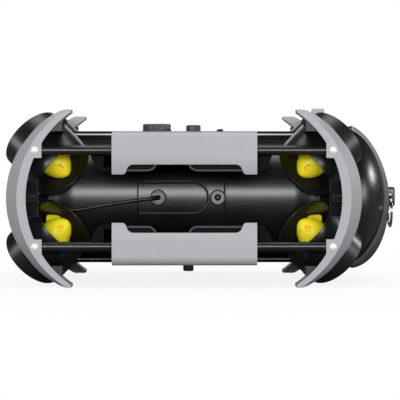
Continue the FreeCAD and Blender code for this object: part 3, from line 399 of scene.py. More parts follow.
def makeGlass():
    material, tree, shader, position = newMaterial("clearGlass")
    marks = useGroup(tree, marksGroup, position, Scale=30.0)
    setInputs(shader, {"Base Color": (0.93, 0.96, 0.98, 1.0), "Transmission Weight": 1.0, "IOR": 1.49,
                       "Roughness": ranged(tree, marks.outputs["Smudge"], 0.01, 0.06)})
    return material


surfaces["clearGlass"] = makeGlass()
print("materials made")

# the record's slots and the surface each wears
slotSurface = {
    "black_plastic": "blackSatin",
    "black_tube": "blackTube",
    "grey_plastic": "greyPlastic",
    "yellow_plastic": "yellowPlastic",
    "motor_black": "motorBlack",
    "steel": "steel",
    "gloss_black": "domeBlack",
    "knob_grey": "knobGrey",
    "clear": "clearGlass",
    "reflector": "aluminiumCup",
    "camera_black": "cameraBlack",
    "board_green": "boardGreen",
    "battery_wrap": "batteryWrap",
    "seal_rubber": "sealRubber",
    "lead_rubber": "leadRubber",
}
slotOf = {part["node"]: part["material_slot"] for part in frame["record"]["subparts"]}
# nodes whose faces look straight at the viewer and stay black there
shadedNodes = ("vent_plug", "lead_glands")
for nodeName, slotName in slotOf.items():
    surface = "blackShade" if nodeName in shadedNodes else slotSurface[slotName]
    for materialSlot in frame["nodes"][nodeName].material_slots:
        materialSlot.material = surfaces[surface]


# places are written in millimetres about the middle of the frame, on the hull axis, as the part is drawn
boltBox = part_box("guard_bolts")
middle = (boltBox[0] + boltBox[1]) / 2
mm = 0.001
weldGap = 1e-6
facing = 0.99


def at(x, y, z):
    return middle + Vector((x, y, z)) * mm


# a wire through (x, z) points, left in mesh mode with all of it selected
def drawWire(name, points, start):
    bpy.ops.mesh.primitive_plane_add(size=mm, location=(0, 0, 0))
    piece = newest(name)
    meshMode()
    bpy.ops.mesh.select_mode(type="VERT")
    selectAll()
    bpy.ops.mesh.merge(type="CENTER")
    bpy.ops.transform.translate(value=start)
    for (x, z), (nextX, nextZ) in zip(points, points[1:]):
        extrude(((nextX - x) * mm, 0, (nextZ - z) * mm))
    selectAll()
    return piece


# outline of (x, z) points in the hull's upright plane, pushed from y0 to y1
def platePiece(name, outline, y0, y1):
    x, z = outline[0]
    piece = drawWire(name, outline, at(x, y0, z))
    bpy.ops.mesh.edge_face_add()
    extrude((0, (y1 - y0) * mm, 0))
    faceOutwards()
    return piece


# profile points are (height along the axis, radius), turned about Z in millimetres
def turnedPiece(name, profile, steps=64):
    height, radius = profile[0]
    points = [(r, h) for h, r in profile]
    piece = drawWire(name, points, (radius * mm, 0, height * mm))
    bpy.ops.mesh.spin(steps=steps, angle=2 * math.pi, center=(0, 0, 0), axis=(0, 0, 1))
    selectAll()
    bpy.ops.mesh.remove_doubles(threshold=weldGap)
    bpy.ops.mesh.delete_loose()
    faceOutwards()
    return piece


def putOnAxis(piece, origin, direction, across=(0, 0, 1)):
    up = Vector(direction).normalized()
    side = Vector(across)
    side = (side - up * side.dot(up)).normalized()
    turn = Matrix((side, up.cross(side), up)).transposed().to_4x4()
    piece.matrix_world = Matrix.Translation(origin) @ turn
    return settle(piece)


# a profile of (x, radius) turned about the hull axis
def turnedOnHull(name, profile, steps=96):
    return putOnAxis(turnedPiece(name, profile, steps), at(0, 0, 0), (1, 0, 0))


def boxPiece(name, low, high):
    a, b = at(*low), at(*high)
    bpy.ops.mesh.primitive_cube_add(size=1.0, location=(a + b) / 2)
    piece = newest(name)
    piece.scale = b - a
    return settle(piece)


def rodPiece(name, radius, start, end, sides=32):
    way = end - start
    bpy.ops.mesh.primitive_cylinder_add(radius=radius * mm, depth=way.length, vertices=sides)
    piece = newest(name)
    piece.rotation_euler = way.to_track_quat("Z", "Y").to_euler()
    piece.location = (start + end) / 2
    return settle(piece)


# round strip over a route of (x, z) points on the near side of the hull
def stripOnHull(name, route, reach, radius):
    curve = bpy.data.curves.new(name, "CURVE")
    curve.dimensions = "3D"
    curve.bevel_depth = radius * mm
    curve.bevel_resolution = 3
    curve.use_fill_caps = True
    spline = curve.splines.new("POLY")
    spline.points.add(len(route) - 1)
    for point, (x, z) in zip(spline.points, route):
        point.co = (*at(x, -math.sqrt(reach * reach - z * z), z), 1.0)
    pick(addToScene(name, curve))
    bpy.ops.object.convert(target="MESH")
    return bpy.context.object


# mirrored copy across the frame's middle planes, with its faces turned back outwards
def mirroredCopy(piece, name, signs):
    twin = copyOf(piece, name)
    turn = Matrix.Diagonal((*signs, 1.0))
    twin.data.transform(Matrix.Translation(middle) @ turn @ Matrix.Translation(-middle))
    if signs[0] * signs[1] * signs[2] < 0:
        twin.data.flip_normals()
    return twin


# parts of profiles: an arc by its centre, radius and angles, a soft step, a notch or bead, a whole tube
def arc(x, r, radius, start, end, steps=6):
    points = []
    for i in range(steps + 1):
        angle = math.radians(start + (end - start) * i / steps)
        points.append((x + radius * math.cos(angle), r + radius * math.sin(angle)))
    return points


def easedStep(x0, r0, x1, r1, steps=10):
    points = []
    for i in range(steps + 1):
        share = i / steps
        ease = share * share * (3 - 2 * share)
        points.append((x0 + (x1 - x0) * share, r0 + (r1 - r0) * ease))
    return points


def notch(x, radius, floor, halfTop, halfFloor):
    return [(x - halfTop, radius), (x - halfFloor, floor), (x + halfFloor, floor), (x + halfTop, radius)]


def chamferedTube(x0, x1, inner, outer, edge):
    profile = [(x0, inner), (x0, outer - edge), (x0 + edge, outer), (x1 - edge, outer), (x1, outer - edge)]
    return profile + [(x1, inner), (x0, inner)]


# frames of the eight thrusters: the lower front near one is drawn, the others are its mirror images
thruster = {"centre": (-129.3, -81.8, -41.5), "axis": (-0.636, 0.436, -0.636)}
thrusterAxis = Vector(thruster["axis"]).normalized()
towardsViewer = Vector((0, -1, 0)) + thrusterAxis * thrusterAxis.y
corners = []
for endName, xSign in (("front", 1), ("rear", -1)):
    for sideName, ySign in (("near", 1), ("far", -1)):
        for levelName, zSign in (("lower", 1), ("upper", -1)):
            corners.append((f"{endName}_{sideName}_{levelName}", (xSign, ySign, zSign)))


def onThruster(piece):
    return putOnAxis(piece, at(*thruster["centre"]), thrusterAxis, towardsViewer)


def eightOf(piece, name, angle=40):
    copies = [mirroredCopy(piece, name, signs) for _, signs in corners]
    bpy.data.objects.remove(piece)
    group = joined(copies, name)
    smooth(group, angle)
    return group


# propeller: pointed hub with three oval recesses and three broad twisted blades
propeller = {
    "tip": -31.0, "dome": 20.0, "radius": 14.5, "back": -0.8, "shaft": 2.05, "power": 1.62, "backEase": 1.0,
    "straight": 3.0, "domeSteps": 18,
    # the recess depths from which the painted shade starts and reaches full strength
    "recessAt": 6.4, "recessReach": 9.3, "recessSize": (2.6, 2.9, 4.4), "recessLean": 35, "recessEase": 0.3,
    "recessShadeFrom": 0.15, "recessShadeFull": 1.8, "tipClear": 0.5,
    "bladeStart": {"lower": 24, "upper": 60}, "bladeHand": {"lower": -1, "upper": 1},
    "bladeRadius": 27.1, "bladeRoot": 12.0, "bladeChord": 19.0, "bladeThickness": 2.0, "bladeMiddle": -11.3,
    "rootShare": 0.62, "widths": (1.16, 1.1, 1.04, 1.0, 0.95, 0.86), "thinning": 0.92, "pitchReach": 0.8,
    "lean": 0.10,
}


def hubRadius(p, height):
    rise = min(1.0, max(0.0, (p["tip"] + p["dome"] - height) / p["dome"]))
    return p["radius"] * (1 - rise ** p["power"]) ** (1 / p["power"])


def makeHub(p):
    back, radius, ease = p["back"], p["radius"], p["backEase"]
    shoulder = p["tip"] + p["dome"]
    profile = [(back, p["shaft"]), (back, radius - ease), (back - ease, radius)]
    profile.append((shoulder + p["straight"], radius))
    for i in range(p["domeSteps"]):
        height = shoulder - p["dome"] * math.sin(math.radians(90 * i / p["domeSteps"]))
        profile.append((height, hubRadius(p, height)))
    profile.append((p["tip"], 0.0))
    return turnedPiece("hub", profile, 72)


# painted shade: how deep each point lies under the hub's own surface, which the yellow plastic turns into a
# deeper orange inside the recesses
def paintRecessShade(hub, p):
    depth = hub.data.attributes.new("paintedShadeAndHighlight", "FLOAT", "POINT")
    for vertex in hub.data.vertices:
        x, y, z = vertex.co / mm
        inDome = p["tip"] + p["tipClear"] < z < p["tip"] + p["dome"]
        under = hubRadius(p, z) - math.hypot(x, y) - p["recessShadeFrom"] if inDome else 0.0
        depth.data[vertex.index].value = min(1.0, max(0.0, under / p["recessShadeFull"]))


def makeRecess(p, turn):
    bpy.ops.mesh.primitive_uv_sphere_add(segments=32, ring_count=20, radius=mm)
    cutter = newest("recess")
    cutter.scale = p["recessSize"]
    cutter.rotation_euler = (0, math.radians(p["recessLean"]), 0)
    cutter.location = Vector((p["recessReach"], 0, p["tip"] + p["recessAt"])) * mm
    settle(cutter)
    return turnedBy(cutter, turn)


def makeBlade(p, turn, hand):
    bpy.ops.mesh.primitive_cube_add(size=mm, location=(p["bladeRoot"] * mm, 0, 0))
    blade = newest("blade")
    blade.scale = (1.0, p["bladeThickness"], p["bladeChord"] * p["rootShare"])
    settle(blade)
    chooseFaces(blade, lambda face: face.normal.x > facing)
    step = (p["bladeRadius"] - p["bladeRoot"]) / len(p["widths"])
    for grow in p["widths"]:
        extrude((step * mm, 0, 0))
        bpy.ops.transform.resize(value=(1, p["thinning"], grow))
    objectMode()
    useModifier(blade, "SUBSURF", levels=2, render_levels=2)
    # the pitch falls from root to tip, so the chord turns as the radius grows
    for vertex in blade.data.vertices:
        radius = max(vertex.co.x / mm, 1.0)
        pitch = hand * (math.pi / 2 - math.atan2(p["bladeChord"] / 2, radius * p["pitchReach"]))
        lean = (radius - p["bladeRoot"]) * p["lean"]
        y, z = vertex.co.y, vertex.co.z
        vertex.co.y = y * math.cos(pitch) + z * math.sin(pitch) + lean * mm
        vertex.co.z = -y * math.sin(pitch) + z * math.cos(pitch)
    blade.location = (0, 0, p["bladeMiddle"] * mm)
    settle(blade)
    return turnedBy(blade, turn)


def makePropeller(p, start, hand):
    hub = makeHub(p)
    for i in range(3):
        carve(hub, makeRecess(p, math.radians(120 * i)))
    useModifier(hub, "BEVEL", width=p["recessEase"] * mm, segments=3, limit_method="ANGLE",
                angle_limit=math.radians(40))
    paintRecessShade(hub, p)
    blades = [makeBlade(p, math.radians(start + 120 * i), hand) for i in range(3)]
    return joined([hub] + blades, "propeller")


def dressPropellers(p):
    for level, start in p["bladeStart"].items():
        master = onThruster(makePropeller(p, start, p["bladeHand"][level]))
        smooth(master, 40)
        for name, signs in corners:
            if name.endswith(level):
                node = "propeller_" + name
                copy = mirroredCopy(master, node + "_shaped", signs)
                place(copy, node, "yellowPlastic", "yellow_plastic", [node])
        bpy.data.objects.remove(master)
    print("propellers made")


dressPropellers(propeller)


# pressure hull: straight in the middle, drawn in softly to each end, with a bulkhead inside
hull = {
    "radius": 60.5, "endRadius": 57.6, "bore": 54.1, "front": -125.0, "rear": 140.0,
    "shoulder": 104.0, "taper": 20.0, "bulkhead": (-18.0, -13.0), "edge": 0.7, "frontEase": 0.7,
    "grooves": ((41.2, 0.2, 0.5),), "grooveLip": 0.15,
}


def makeHullPiece(h):
    front, rear, bore, end, e = h["front"], h["rear"], h["bore"], h["endRadius"], h["edge"]
    taperEnd = h["shoulder"] + h["taper"]
    profile = [(front, bore + e), (front, end - e), (front + e * h["frontEase"], end)]
    profile += easedStep(-taperEnd, end, -h["shoulder"], h["radius"])
    for x, halfWidth, depth in h["grooves"]:
        profile += notch(x, h["radius"], h["radius"] - depth, halfWidth + h["grooveLip"], halfWidth)
    profile += easedStep(h["shoulder"], h["radius"], taperEnd, end)
    profile += [(rear - e, end), (rear, end - e), (rear, bore + e), (rear - e, bore)]
    profile += [(h["bulkhead"][1], bore), (h["bulkhead"][1], 0.0), (h["bulkhead"][0], 0.0)]
    profile += [(h["bulkhead"][0], bore), (front + e, bore), profile[0]]
    piece = turnedOnHull("hull_tube_shaped", profile, 128)
    smooth(piece, 20)
    place(piece, "vehicle", "blackSatin", "black_plastic", ["hull_tube"])


makeHullPiece(hull)
print("hull made")


# thruster duct: rolled lips, a bead at the mouth, and a sleeve for the motor on three fins
duct = {
    "radius": 31.6, "wall": 2.7, "half": 25.0, "lip": 1.2, "mouthLip": 0.5, "beadAt": 20.5, "bead": 0.35,
    "drawFrom": -7.0, "drawIn": 2.6, "drawEnd": 70, "drawSteps": 12, "lipEnd": 115, "beadHalf": (-1.0, -0.5),
    "sleeveOuter": 14.8, "sleeveInner": 13.25, "sleeve": (1.0, 21.0), "sleeveEdge": 0.5,
    "finThick": 2.4, "fin": (3.4, 18.6), "finNose": 0.9, "finRoot": 0.8,
}


def makeDuct(d):
    radius, lip, mouthLip, bead = d["radius"], d["lip"], d["mouthLip"], d["beadAt"]
    inner, low, high, end = radius - d["wall"], -d["half"], d["half"], math.radians(d["drawEnd"])
    reach = (d["drawFrom"] - low - mouthLip) / math.sin(end)
    mouth = radius - d["drawIn"] * (1 - math.cos(end))
    profile = arc(low + mouthLip, inner + mouthLip, mouthLip, 270, 180)
    profile += arc(low + mouthLip, mouth - mouthLip, mouthLip, 180, d["lipEnd"])
    for i in range(d["drawSteps"] + 1):
        turn = end * (1 - i / d["drawSteps"])
        profile.append((d["drawFrom"] - reach * math.sin(turn), radius - d["drawIn"] * (1 - math.cos(turn))))
    profile += arc(high - lip, radius - lip, lip, 90, 0) + arc(high - lip, inner + lip, lip, 0, -90)
    profile += notch(bead, inner, inner - d["bead"], *d["beadHalf"]) + [profile[0]]
    ring = turnedPiece("duct", profile, 96)
    tube = chamferedTube(*d["sleeve"], d["sleeveInner"], d["sleeveOuter"], d["sleeveEdge"])
    sleeve = turnedPiece("sleeve", tube, 64)
    for i in range(3):
        carve(sleeve, makeFin(d, math.radians(60 + 120 * i)), "UNION")
    carve(ring, sleeve, "UNION")
    return ring


def makeFin(d, turn):
    start = d["sleeveOuter"] - d["finRoot"]
    end = d["radius"] - d["wall"] / 2
    z0, z1 = d["fin"]
    bpy.ops.mesh.primitive_cube_add(size=mm, location=((start + end) / 2 * mm, 0, (z0 + z1) / 2 * mm))
    fin = newest("fin")
    fin.scale = (end - start, d["finThick"], z1 - z0)
    settle(fin)
    useModifier(fin, "BEVEL", width=d["finNose"] * mm, segments=3, limit_method="NONE")
    return turnedBy(fin, turn)


def dressDucts(d):
    master = onThruster(makeDuct(d))
    smooth(master, 30)
    for name, signs in corners:
        node = "duct_" + name
        place(mirroredCopy(master, node + "_shaped", signs), "vehicle", "ductBlack", "black_plastic", [node])
    bpy.data.objects.remove(master)
    print("ducts made")


dressDucts(duct)


# motor pod: a can with a rounded tail, cooling grooves, three screws and the propeller shaft
motor = {
    "radius": 13.15, "length": 24.0, "nose": 5.0, "edge": 0.6, "grooves": (17.6, 19.8), "grooveDepth": 0.5,
    "grooveHalf": (0.5, 0.3), "shaft": 2.0, "shaftEnd": -12.0, "shaftEdge": 0.3,
    "dish": 6.5, "dishEdge": 0.5, "dishDepth": 0.7, "dishFloor": 2.4, "boss": 2.0, "bossSink": 0.1,
    "screwReach": 9.0, "screwRadius": 1.3, "screwHeight": 0.9, "screwSink": 0.6,
}


def makeMotor(m):
    nose, end, radius, shaft, edge = m["nose"], m["length"], m["radius"], m["shaft"], m["edge"]
    floor = end - m["dishDepth"]
    profile = [(m["shaftEnd"], 0.0), (m["shaftEnd"], shaft - m["shaftEdge"])]
    profile += [(m["shaftEnd"] + m["shaftEdge"], shaft), (0.0, shaft), (0.0, radius - edge), (edge, radius)]
    for groove in m["grooves"]:
        profile += notch(groove, radius, radius - m["grooveDepth"], *m["grooveHalf"])
    profile += arc(end - nose, radius - nose, nose, 90, 0, 10)
    profile += [(end, m["dish"] + m["dishEdge"]), (floor, m["dish"]), (floor, m["dishFloor"])]
    profile += [(end - m["bossSink"], m["boss"]), (end - m["bossSink"], 0.0)]
    pod = turnedPiece("motor", profile, 64)
    for i in range(3):
        screw = screwHead("motorScrew", m["screwRadius"], m["screwHeight"])
        way = Matrix.Rotation(math.radians(60 + 120 * i), 3, "Z")
        screw.location = way @ Vector((m["screwReach"], 0, end - m["screwSink"])) * mm
        pod = joined([pod, settle(screw)], "motor")
    return pod


# small socket screw head standing on its origin, along Z
screwForm = {"edge": 0.18, "ease": 0.3, "socket": 0.5, "root": 0.4, "sides": 32}


def screwHead(name, radius, height):
    f = screwForm
    e, socket = radius * f["edge"], radius * f["socket"]
    ease = e * f["ease"]
    profile = [(-f["root"], 0.0), (-f["root"], radius), (height - e, radius), (height - ease, radius - ease)]
    head = turnedPiece(name, profile + [(height, radius - e), (height, 0.0)], f["sides"])
    low, high = (Vector((0, 0, z)) * mm for z in (height - socket, height + 1))
    carve(head, rodPiece(name + "Socket", socket, low, high, 6))
    return head


pods = eightOf(onThruster(makeMotor(motor)), "motor_pods_shaped", 30)
place(pods, "vehicle", "motorBlack", "motor_black", ["motor_pods"])
print("motors made")


# battery cap: a skirt, a soft flare and a dome on a superellipse, with a spigot and two seal grooves
cap = {
    "start": 140.6, "skirt": 57.0, "skirtEnd": 153.0, "edge": 0.5, "rimGap": (0.4, 0.2),
    "lineAt": 147.0, "lineDepth": 0.5, "lineHalf": (0.5, 0.3),
    "centre": 160.0, "reach": 40.5, "radius": 69.0, "power": 1.75, "rimAngle": 84, "wall": 4.0, "bore": 49.7,
    "spigotStart": 130.0, "spigot": 53.7, "spigotEdge": 0.4, "seals": (133.0, 137.0), "sealHalf": 1.2,
    "sealFloor": 51.65,
}


def superellipse(c, reach, radius, power, start, end, steps):
    points = []
    for i in range(steps + 1):
        angle = math.radians(start + (end - start) * i / steps)
        x = c["centre"] + reach * math.cos(angle) ** (2 / power)
        points.append((x, radius * max(0.0, math.sin(angle)) ** (2 / power)))
    return points


# the cap's own dome, moved inwards by a distance
def domeLine(c, inwards, start, end, steps):
    return superellipse(c, c["reach"] - inwards, c["radius"] - inwards, c["power"], start, end, steps)


def makeCapPiece(c):
    start, skirt, spigot, edge = c["start"], c["skirt"], c["spigot"], c["spigotEdge"]
    dome = domeLine(c, 0.0, c["rimAngle"], 0, 44)
    inner = domeLine(c, c["wall"], 0, c["rimAngle"], 24)
    rimX, rimRadius = (place - gap for place, gap in zip(dome[0], c["rimGap"]))
    profile = [(start, spigot), (start, skirt - c["edge"]), (start + c["edge"], skirt)]
    profile += notch(c["lineAt"], skirt, skirt - c["lineDepth"], *c["lineHalf"])
    profile += easedStep(c["skirtEnd"], skirt, rimX, rimRadius, 12)
    profile += dome[1:-1] + [(dome[-1][0], 0.0), (inner[0][0], 0.0)] + inner[1:]
    profile += [(c["skirtEnd"], c["bore"]), (c["spigotStart"], c["bore"])]
    profile += [(c["spigotStart"], spigot - edge), (c["spigotStart"] + edge, spigot)]
    for x in c["seals"]:
        profile += notch(x, spigot, c["sealFloor"], c["sealHalf"], c["sealHalf"])
    piece = turnedOnHull("battery_cap_shaped", profile + [profile[0]], 160)
    smooth(piece, 30)
    place(piece, "battery_cap", "domeBlack", "gloss_black", ["battery_cap"])


# band over the cap: a strip on its own two superellipses, cut away inside the dome, with the ring's eye
band = {
    "halfWidth": 18.0, "reach": 42.5, "radius": 71.0, "topPower": 1.7, "bottomPower": 2.2, "front": 165.0,
    "edge": 1.3, "seat": 0.15, "eye": (194.5, 210.0), "eyeHalf": 4.0, "eyeZ": (-10.0, 9.5), "eyeEdge": 2.6,
    "ringX": 205.2, "holeZ": 0.7, "hole": 2.2,
}


def bevelledAll(piece, width, segments):
    clearChoice(piece, "EDGE")
    meshMode()
    selectAll()
    bpy.ops.mesh.bevel(offset=width * mm, segments=segments, affect="EDGES", clamp_overlap=True)
    objectMode()


def makeBandPiece(b, c):
    front, seat = b["front"], b["seat"]
    top = superellipse(c, b["reach"], b["radius"], b["topPower"], c["rimAngle"], 0, 36)
    bottom = superellipse(c, b["reach"], b["radius"], b["bottomPower"], 0, c["rimAngle"], 36)
    outline = [(front, top[1][1])] + [p for p in top if p[0] > front]
    outline += [(x, -z) for x, z in bottom[1:] if x > front] + [(front, -bottom[-2][1])]
    strip = platePiece("cap_band_shaped", outline, -b["halfWidth"], b["halfWidth"])
    bevelledAll(strip, b["edge"], 4)
    coreFront = front - 2
    core = [(coreFront, 0.0), (coreFront, c["radius"] - seat)]
    core += [p for p in domeLine(c, seat, c["rimAngle"], 1, 44) if p[0] > coreFront]
    carve(strip, turnedOnHull("capCore", core + [(c["centre"] + c["reach"] - seat, 0.0)], 128))
    x0, x1 = b["eye"]
    eye = boxPiece("eye", (x0, -b["eyeHalf"], b["eyeZ"][0]), (x1, b["eyeHalf"], b["eyeZ"][1]))
    useModifier(eye, "BEVEL", width=b["eyeEdge"] * mm, segments=5, limit_method="ANGLE")
    start, end = (at(b["ringX"], y, b["holeZ"]) for y in (-20, 20))
    carve(eye, rodPiece("eyeHole", b["hole"], start, end))
    tip = [(150, 0.0), (150, 30.0)] + domeLine(c, 0.0, 40, 0, 20)[:-1] + [(c["centre"] + c["reach"], 0.0)]
    carve(eye, turnedOnHull("capTip", tip, 96))
    carve(strip, eye, "UNION")
    smooth(strip, 30)
    place(strip, "battery_cap", "domeBlack", "gloss_black", ["cap_band"])


makeCapPiece(cap)
makeBandPiece(band, cap)
print("cap and band made")


# pull ring: a split ring of two turns side by side
ring = {"radius": 15.4, "wire": 0.7, "apart": 0.58}


def makeRingPiece(r, b):
    turns = []
    for side in (-1, 1):
        spot = at(b["ringX"] + side * r["apart"], 0, b["holeZ"] - r["radius"])
        bpy.ops.mesh.primitive_torus_add(
            location=spot, rotation=(0, math.pi / 2, 0), major_segments=96, minor_segments=20,
            major_radius=r["radius"] * mm, minor_radius=r["wire"] * mm)
        turns.append(settle(newest("ringTurn")))
    piece = joined(turns, "pull_ring_shaped")
    smooth(piece, 60)
    place(piece, "pull_ring", "steel", "steel", ["pull_ring"])


makeRingPiece(ring, band)


# collar round the hull: two halves between the rails, with a channel on each side inside a raised bead
collar = {
    "front": -44.0, "rear": 38.3, "inner": 60.2, "outer": 61.7, "edge": 0.5, "ease": 0.3, "railHalf": 26.4,
    "channelHalf": 14.5, "channelEnd": 23.2, "bead": 0.75, "beadRise": 0.15, "beadSteps": 14,
}
# painted shade: dark strips in the channel's upper corner and round its end, where shade falls under the
# collar's edge, and dark rings in the seams at both ends of the collar
collarShadeStrips = {"end": 0.68, "endReach": 60.65, "channel": 0.8, "channelReach": 60.75, "channelDrop": 0.45}


def stadium(half, start, end, steps=16):
    outline = [(start, half)]
    for i in range(steps + 1):
        angle = math.radians(90 - 180 * i / steps)
        outline.append((end - half + half * math.cos(angle), half * math.sin(angle)))
    return outline + [(start, -half)]


def makeCollarPiece(c):
    front, rear, outer, e, bead = c["front"], c["rear"], c["outer"], c["edge"], c["bead"]
    ease = e * c["ease"]
    profile = [(front, c["inner"]), (front, outer - e), (front + ease, outer - ease), (front + e, outer)]
    profile += [(rear - e, outer), (rear - ease, outer - ease), (rear, outer - e), (rear, c["inner"])]
    piece = turnedOnHull("mid_collar_shaped", profile + [profile[0]], 160)
    far = outer + 10
    for low, high in ((c["inner"] / 2, far), (-far, -c["inner"] / 2)):
        carve(piece, boxPiece("railGap", (front - 1, -c["railHalf"], low), (rear + 1, c["railHalf"], high)))
    carve(piece, platePiece("channel", stadium(c["channelHalf"], front - 1, c["channelEnd"]), -far, far))
    smooth(piece, 30)
    useModifier(piece, "WEIGHTED_NORMAL", keep_sharp=True)
    route = stadium(c["channelHalf"] + bead, front + bead, c["channelEnd"] + bead, c["beadSteps"])
    nearBead = stripOnHull("channelBead", route, outer + c["beadRise"], bead)
    beads = joined([nearBead, mirroredCopy(nearBead, "channelBead", (1, -1, 1))], "channelBeads")
    smooth(beads, 60)
    piece = joined([piece, beads], "mid_collar_shaped")
    place(piece, "vehicle", "blackSatin", "black_plastic", ["mid_collar"])


# painted shade: dark strips and rings where the channel's edge and the collar's seams lie in shade
def makeCollarShadeStrips(c, s):
    drop = s["channelDrop"]
    route = stadium(c["channelHalf"] - drop, c["front"], c["channelEnd"] - drop, c["beadSteps"])
    upper = [(x, z) for x, z in route if z > -c["channelHalf"] / 2]
    near = stripOnHull("channelShadeStrip", upper, s["channelReach"], s["channel"])
    pieces = [near, mirroredCopy(near, "channelShadeStrip", (1, -1, 1))]
    for x in (c["front"] - s["end"], c["rear"] + s["end"]):
        pieces.append(turnedOnHull("seamShadeRing", arc(x, s["endReach"], s["end"], 0, 360, 16), 128))
    piece = joined(pieces, "collar_painted_shade")
    smooth(piece, 60)
    place(piece, "vehicle", "blackShade", "seal_rubber")


makeCollarPiece(collar)
makeCollarShadeStrips(collar, collarShadeStrips)
print("collar made")


# grey faces of the side lead's gland and of the vent, standing on the near side of the hull
faceRings = {
    "gland_ring": {"x": -25.0, "z": 0.0, "face": 63.5, "outer": 6.7, "inner": 2.5, "line": 5.3},
    "vent_ring": {"x": 32.4, "z": 0.0, "face": 63.3, "outer": 6.45, "inner": 3.15, "line": 0.0},
}
faceForm = {"rise": 0.45, "depth": 0.6, "edge": 0.25, "lineDepth": 0.5, "lineHalf": (0.35, 0.2)}
ventPin = {"radius": 1.25, "from": 60.0, "to": 63.3}
# painted shade: a black disc filling the gap round the vent ring and the hole inside it
ventShadeDisc = {"radius": 7.7, "from": 60.0, "to": 62.7, "edge": 0.3}


def standOnSide(name, profile, spot, steps, angle, look, slot):
    piece = turnedPiece(name, profile, steps)
    putOnAxis(piece, at(spot["x"], 0, spot["z"]), (0, -1, 0))
    smooth(piece, angle)
    place(piece, "vehicle", look, slot)


def makeFaceRing(name, r, f):
    base, face, e = r["face"] - f["depth"], r["face"] + f["rise"], f["edge"]
    inner, outer, line, floor = r["inner"], r["outer"], r["line"], face - f["lineDepth"]
    profile = [(base, inner), (face - e, inner), (face, inner + e)]
    if line:
        top, bottom = f["lineHalf"]
        profile += [(face, line - top), (floor, line - bottom), (floor, line + bottom), (face, line + top)]
    profile += [(face, outer - e), (face - e, outer), (base, outer), (base, inner)]
    standOnSide(name, profile, r, 64, 30, "ventGrey", "black_plastic")


def makeVent(pin, seat, spot):
    profile = [(pin["from"], 0.0), (pin["from"], pin["radius"])]
    profile += arc(pin["to"] - pin["radius"], 0.0, pin["radius"], 90, 0, 6)
    standOnSide("vent_pin", profile, spot, 32, 50, "ventGrey", "black_plastic")
    # painted shade: the black disc behind the vent ring
    radius, edge = seat["radius"], seat["edge"]
    profile = [(seat["from"], 0.0), (seat["from"], radius), (seat["to"] - edge, radius)]
    profile += [(seat["to"], radius - edge), (seat["to"], 0.0)]
    standOnSide("vent_shade_disc", profile, spot, 64, 30, "cradleBlack", "seal_rubber")


for ringName, ringValues in faceRings.items():
    makeFaceRing(ringName, ringValues, faceForm)
makeVent(ventPin, ventShadeDisc, faceRings["vent_ring"])


# guard bolts: plain domed heads on their washers, each in a dark ring that is painted shade at its edge
bolt = {
    "radius": 3.5, "washer": 0.5, "edge": 0.2, "dome": 2.0, "shank": 2.0, "shankLength": 4.0,
    "seat": 3.95, "shadeRingHeight": 0.12, "shadeRingDepth": 0.5,
}


def makeBolts(b):
    low, high = boltBox
    reach = (high - low) / 2 / mm
    radius, base, shank, edge = b["radius"], -b["washer"], b["shank"], b["edge"]
    ball = (radius ** 2 + b["dome"] ** 2) / (2 * b["dome"])
    widest = math.degrees(math.asin(radius / ball))
    shankEnd = base - b["shankLength"]
    profile = [(shankEnd, 0.0), (shankEnd, shank), (base, shank), (base, radius - edge)]
    profile += [(base + edge, radius)] + arc(b["dome"] - ball, 0.0, ball, widest, 0, 10)
    spot = at(-(reach.x - radius), -(reach.y - b["dome"]), reach.z - radius)
    head = putOnAxis(turnedPiece("boltHead", profile, 48), spot, (0, -1, 0))
    place(eightOf(head, "guard_bolts_shaped"), "vehicle", "boltSteel", "steel", ["guard_bolts"])
    # painted shade: a dark ring round each bolt head
    low, high = base - b["shadeRingDepth"], base + b["shadeRingHeight"]
    rim = [(low, shank), (low, b["seat"]), (high, b["seat"]), (high, shank), (low, shank)]
    seat = putOnAxis(turnedPiece("boltShadeRing", rim, 48), spot, (0, -1, 0))
    place(eightOf(seat, "bolt_shade_rings"), "vehicle", "cradleBlack", "seal_rubber")


makeBolts(bolt)
print("gland, vent and bolts made")


# knurled caps: place along the hull, radius, height, flutes, and what sets them apart
knobs = {
    "port_cap": dict(x=-27.2, radius=14.4, top=72.0, flutes=10, spigot=8.9, side=1, dish=0.6),
    "small_knob": dict(x=9.3, radius=7.35, top=71.0, flutes=7, spigot=3.9, side=1, dish=0.4),
    "keel_plug": dict(x=4.1, radius=5.45, top=74.4, flutes=6, spigot=2.85, side=-1, dish=0.3),
}
knobForm = {
    "seat": 64.8, "depth": 3.7, "foot": 0.3, "skirt": 0.8, "skirtIn": 0.05, "step": 0.1, "edge": 1.5,
    "lip": 0.72, "lipEdge": 0.4, "fluteDepth": 0.014, "fluteShares": (0.40, 0.31, 0.22, 0.12),
    "fluteReach": 1.2, "fluteFrom": 0.05, "stepsPerFlute": 20,
    "slotWidth": 1.4, "slotShare": 0.7, "slotDepth": 0.8,
}


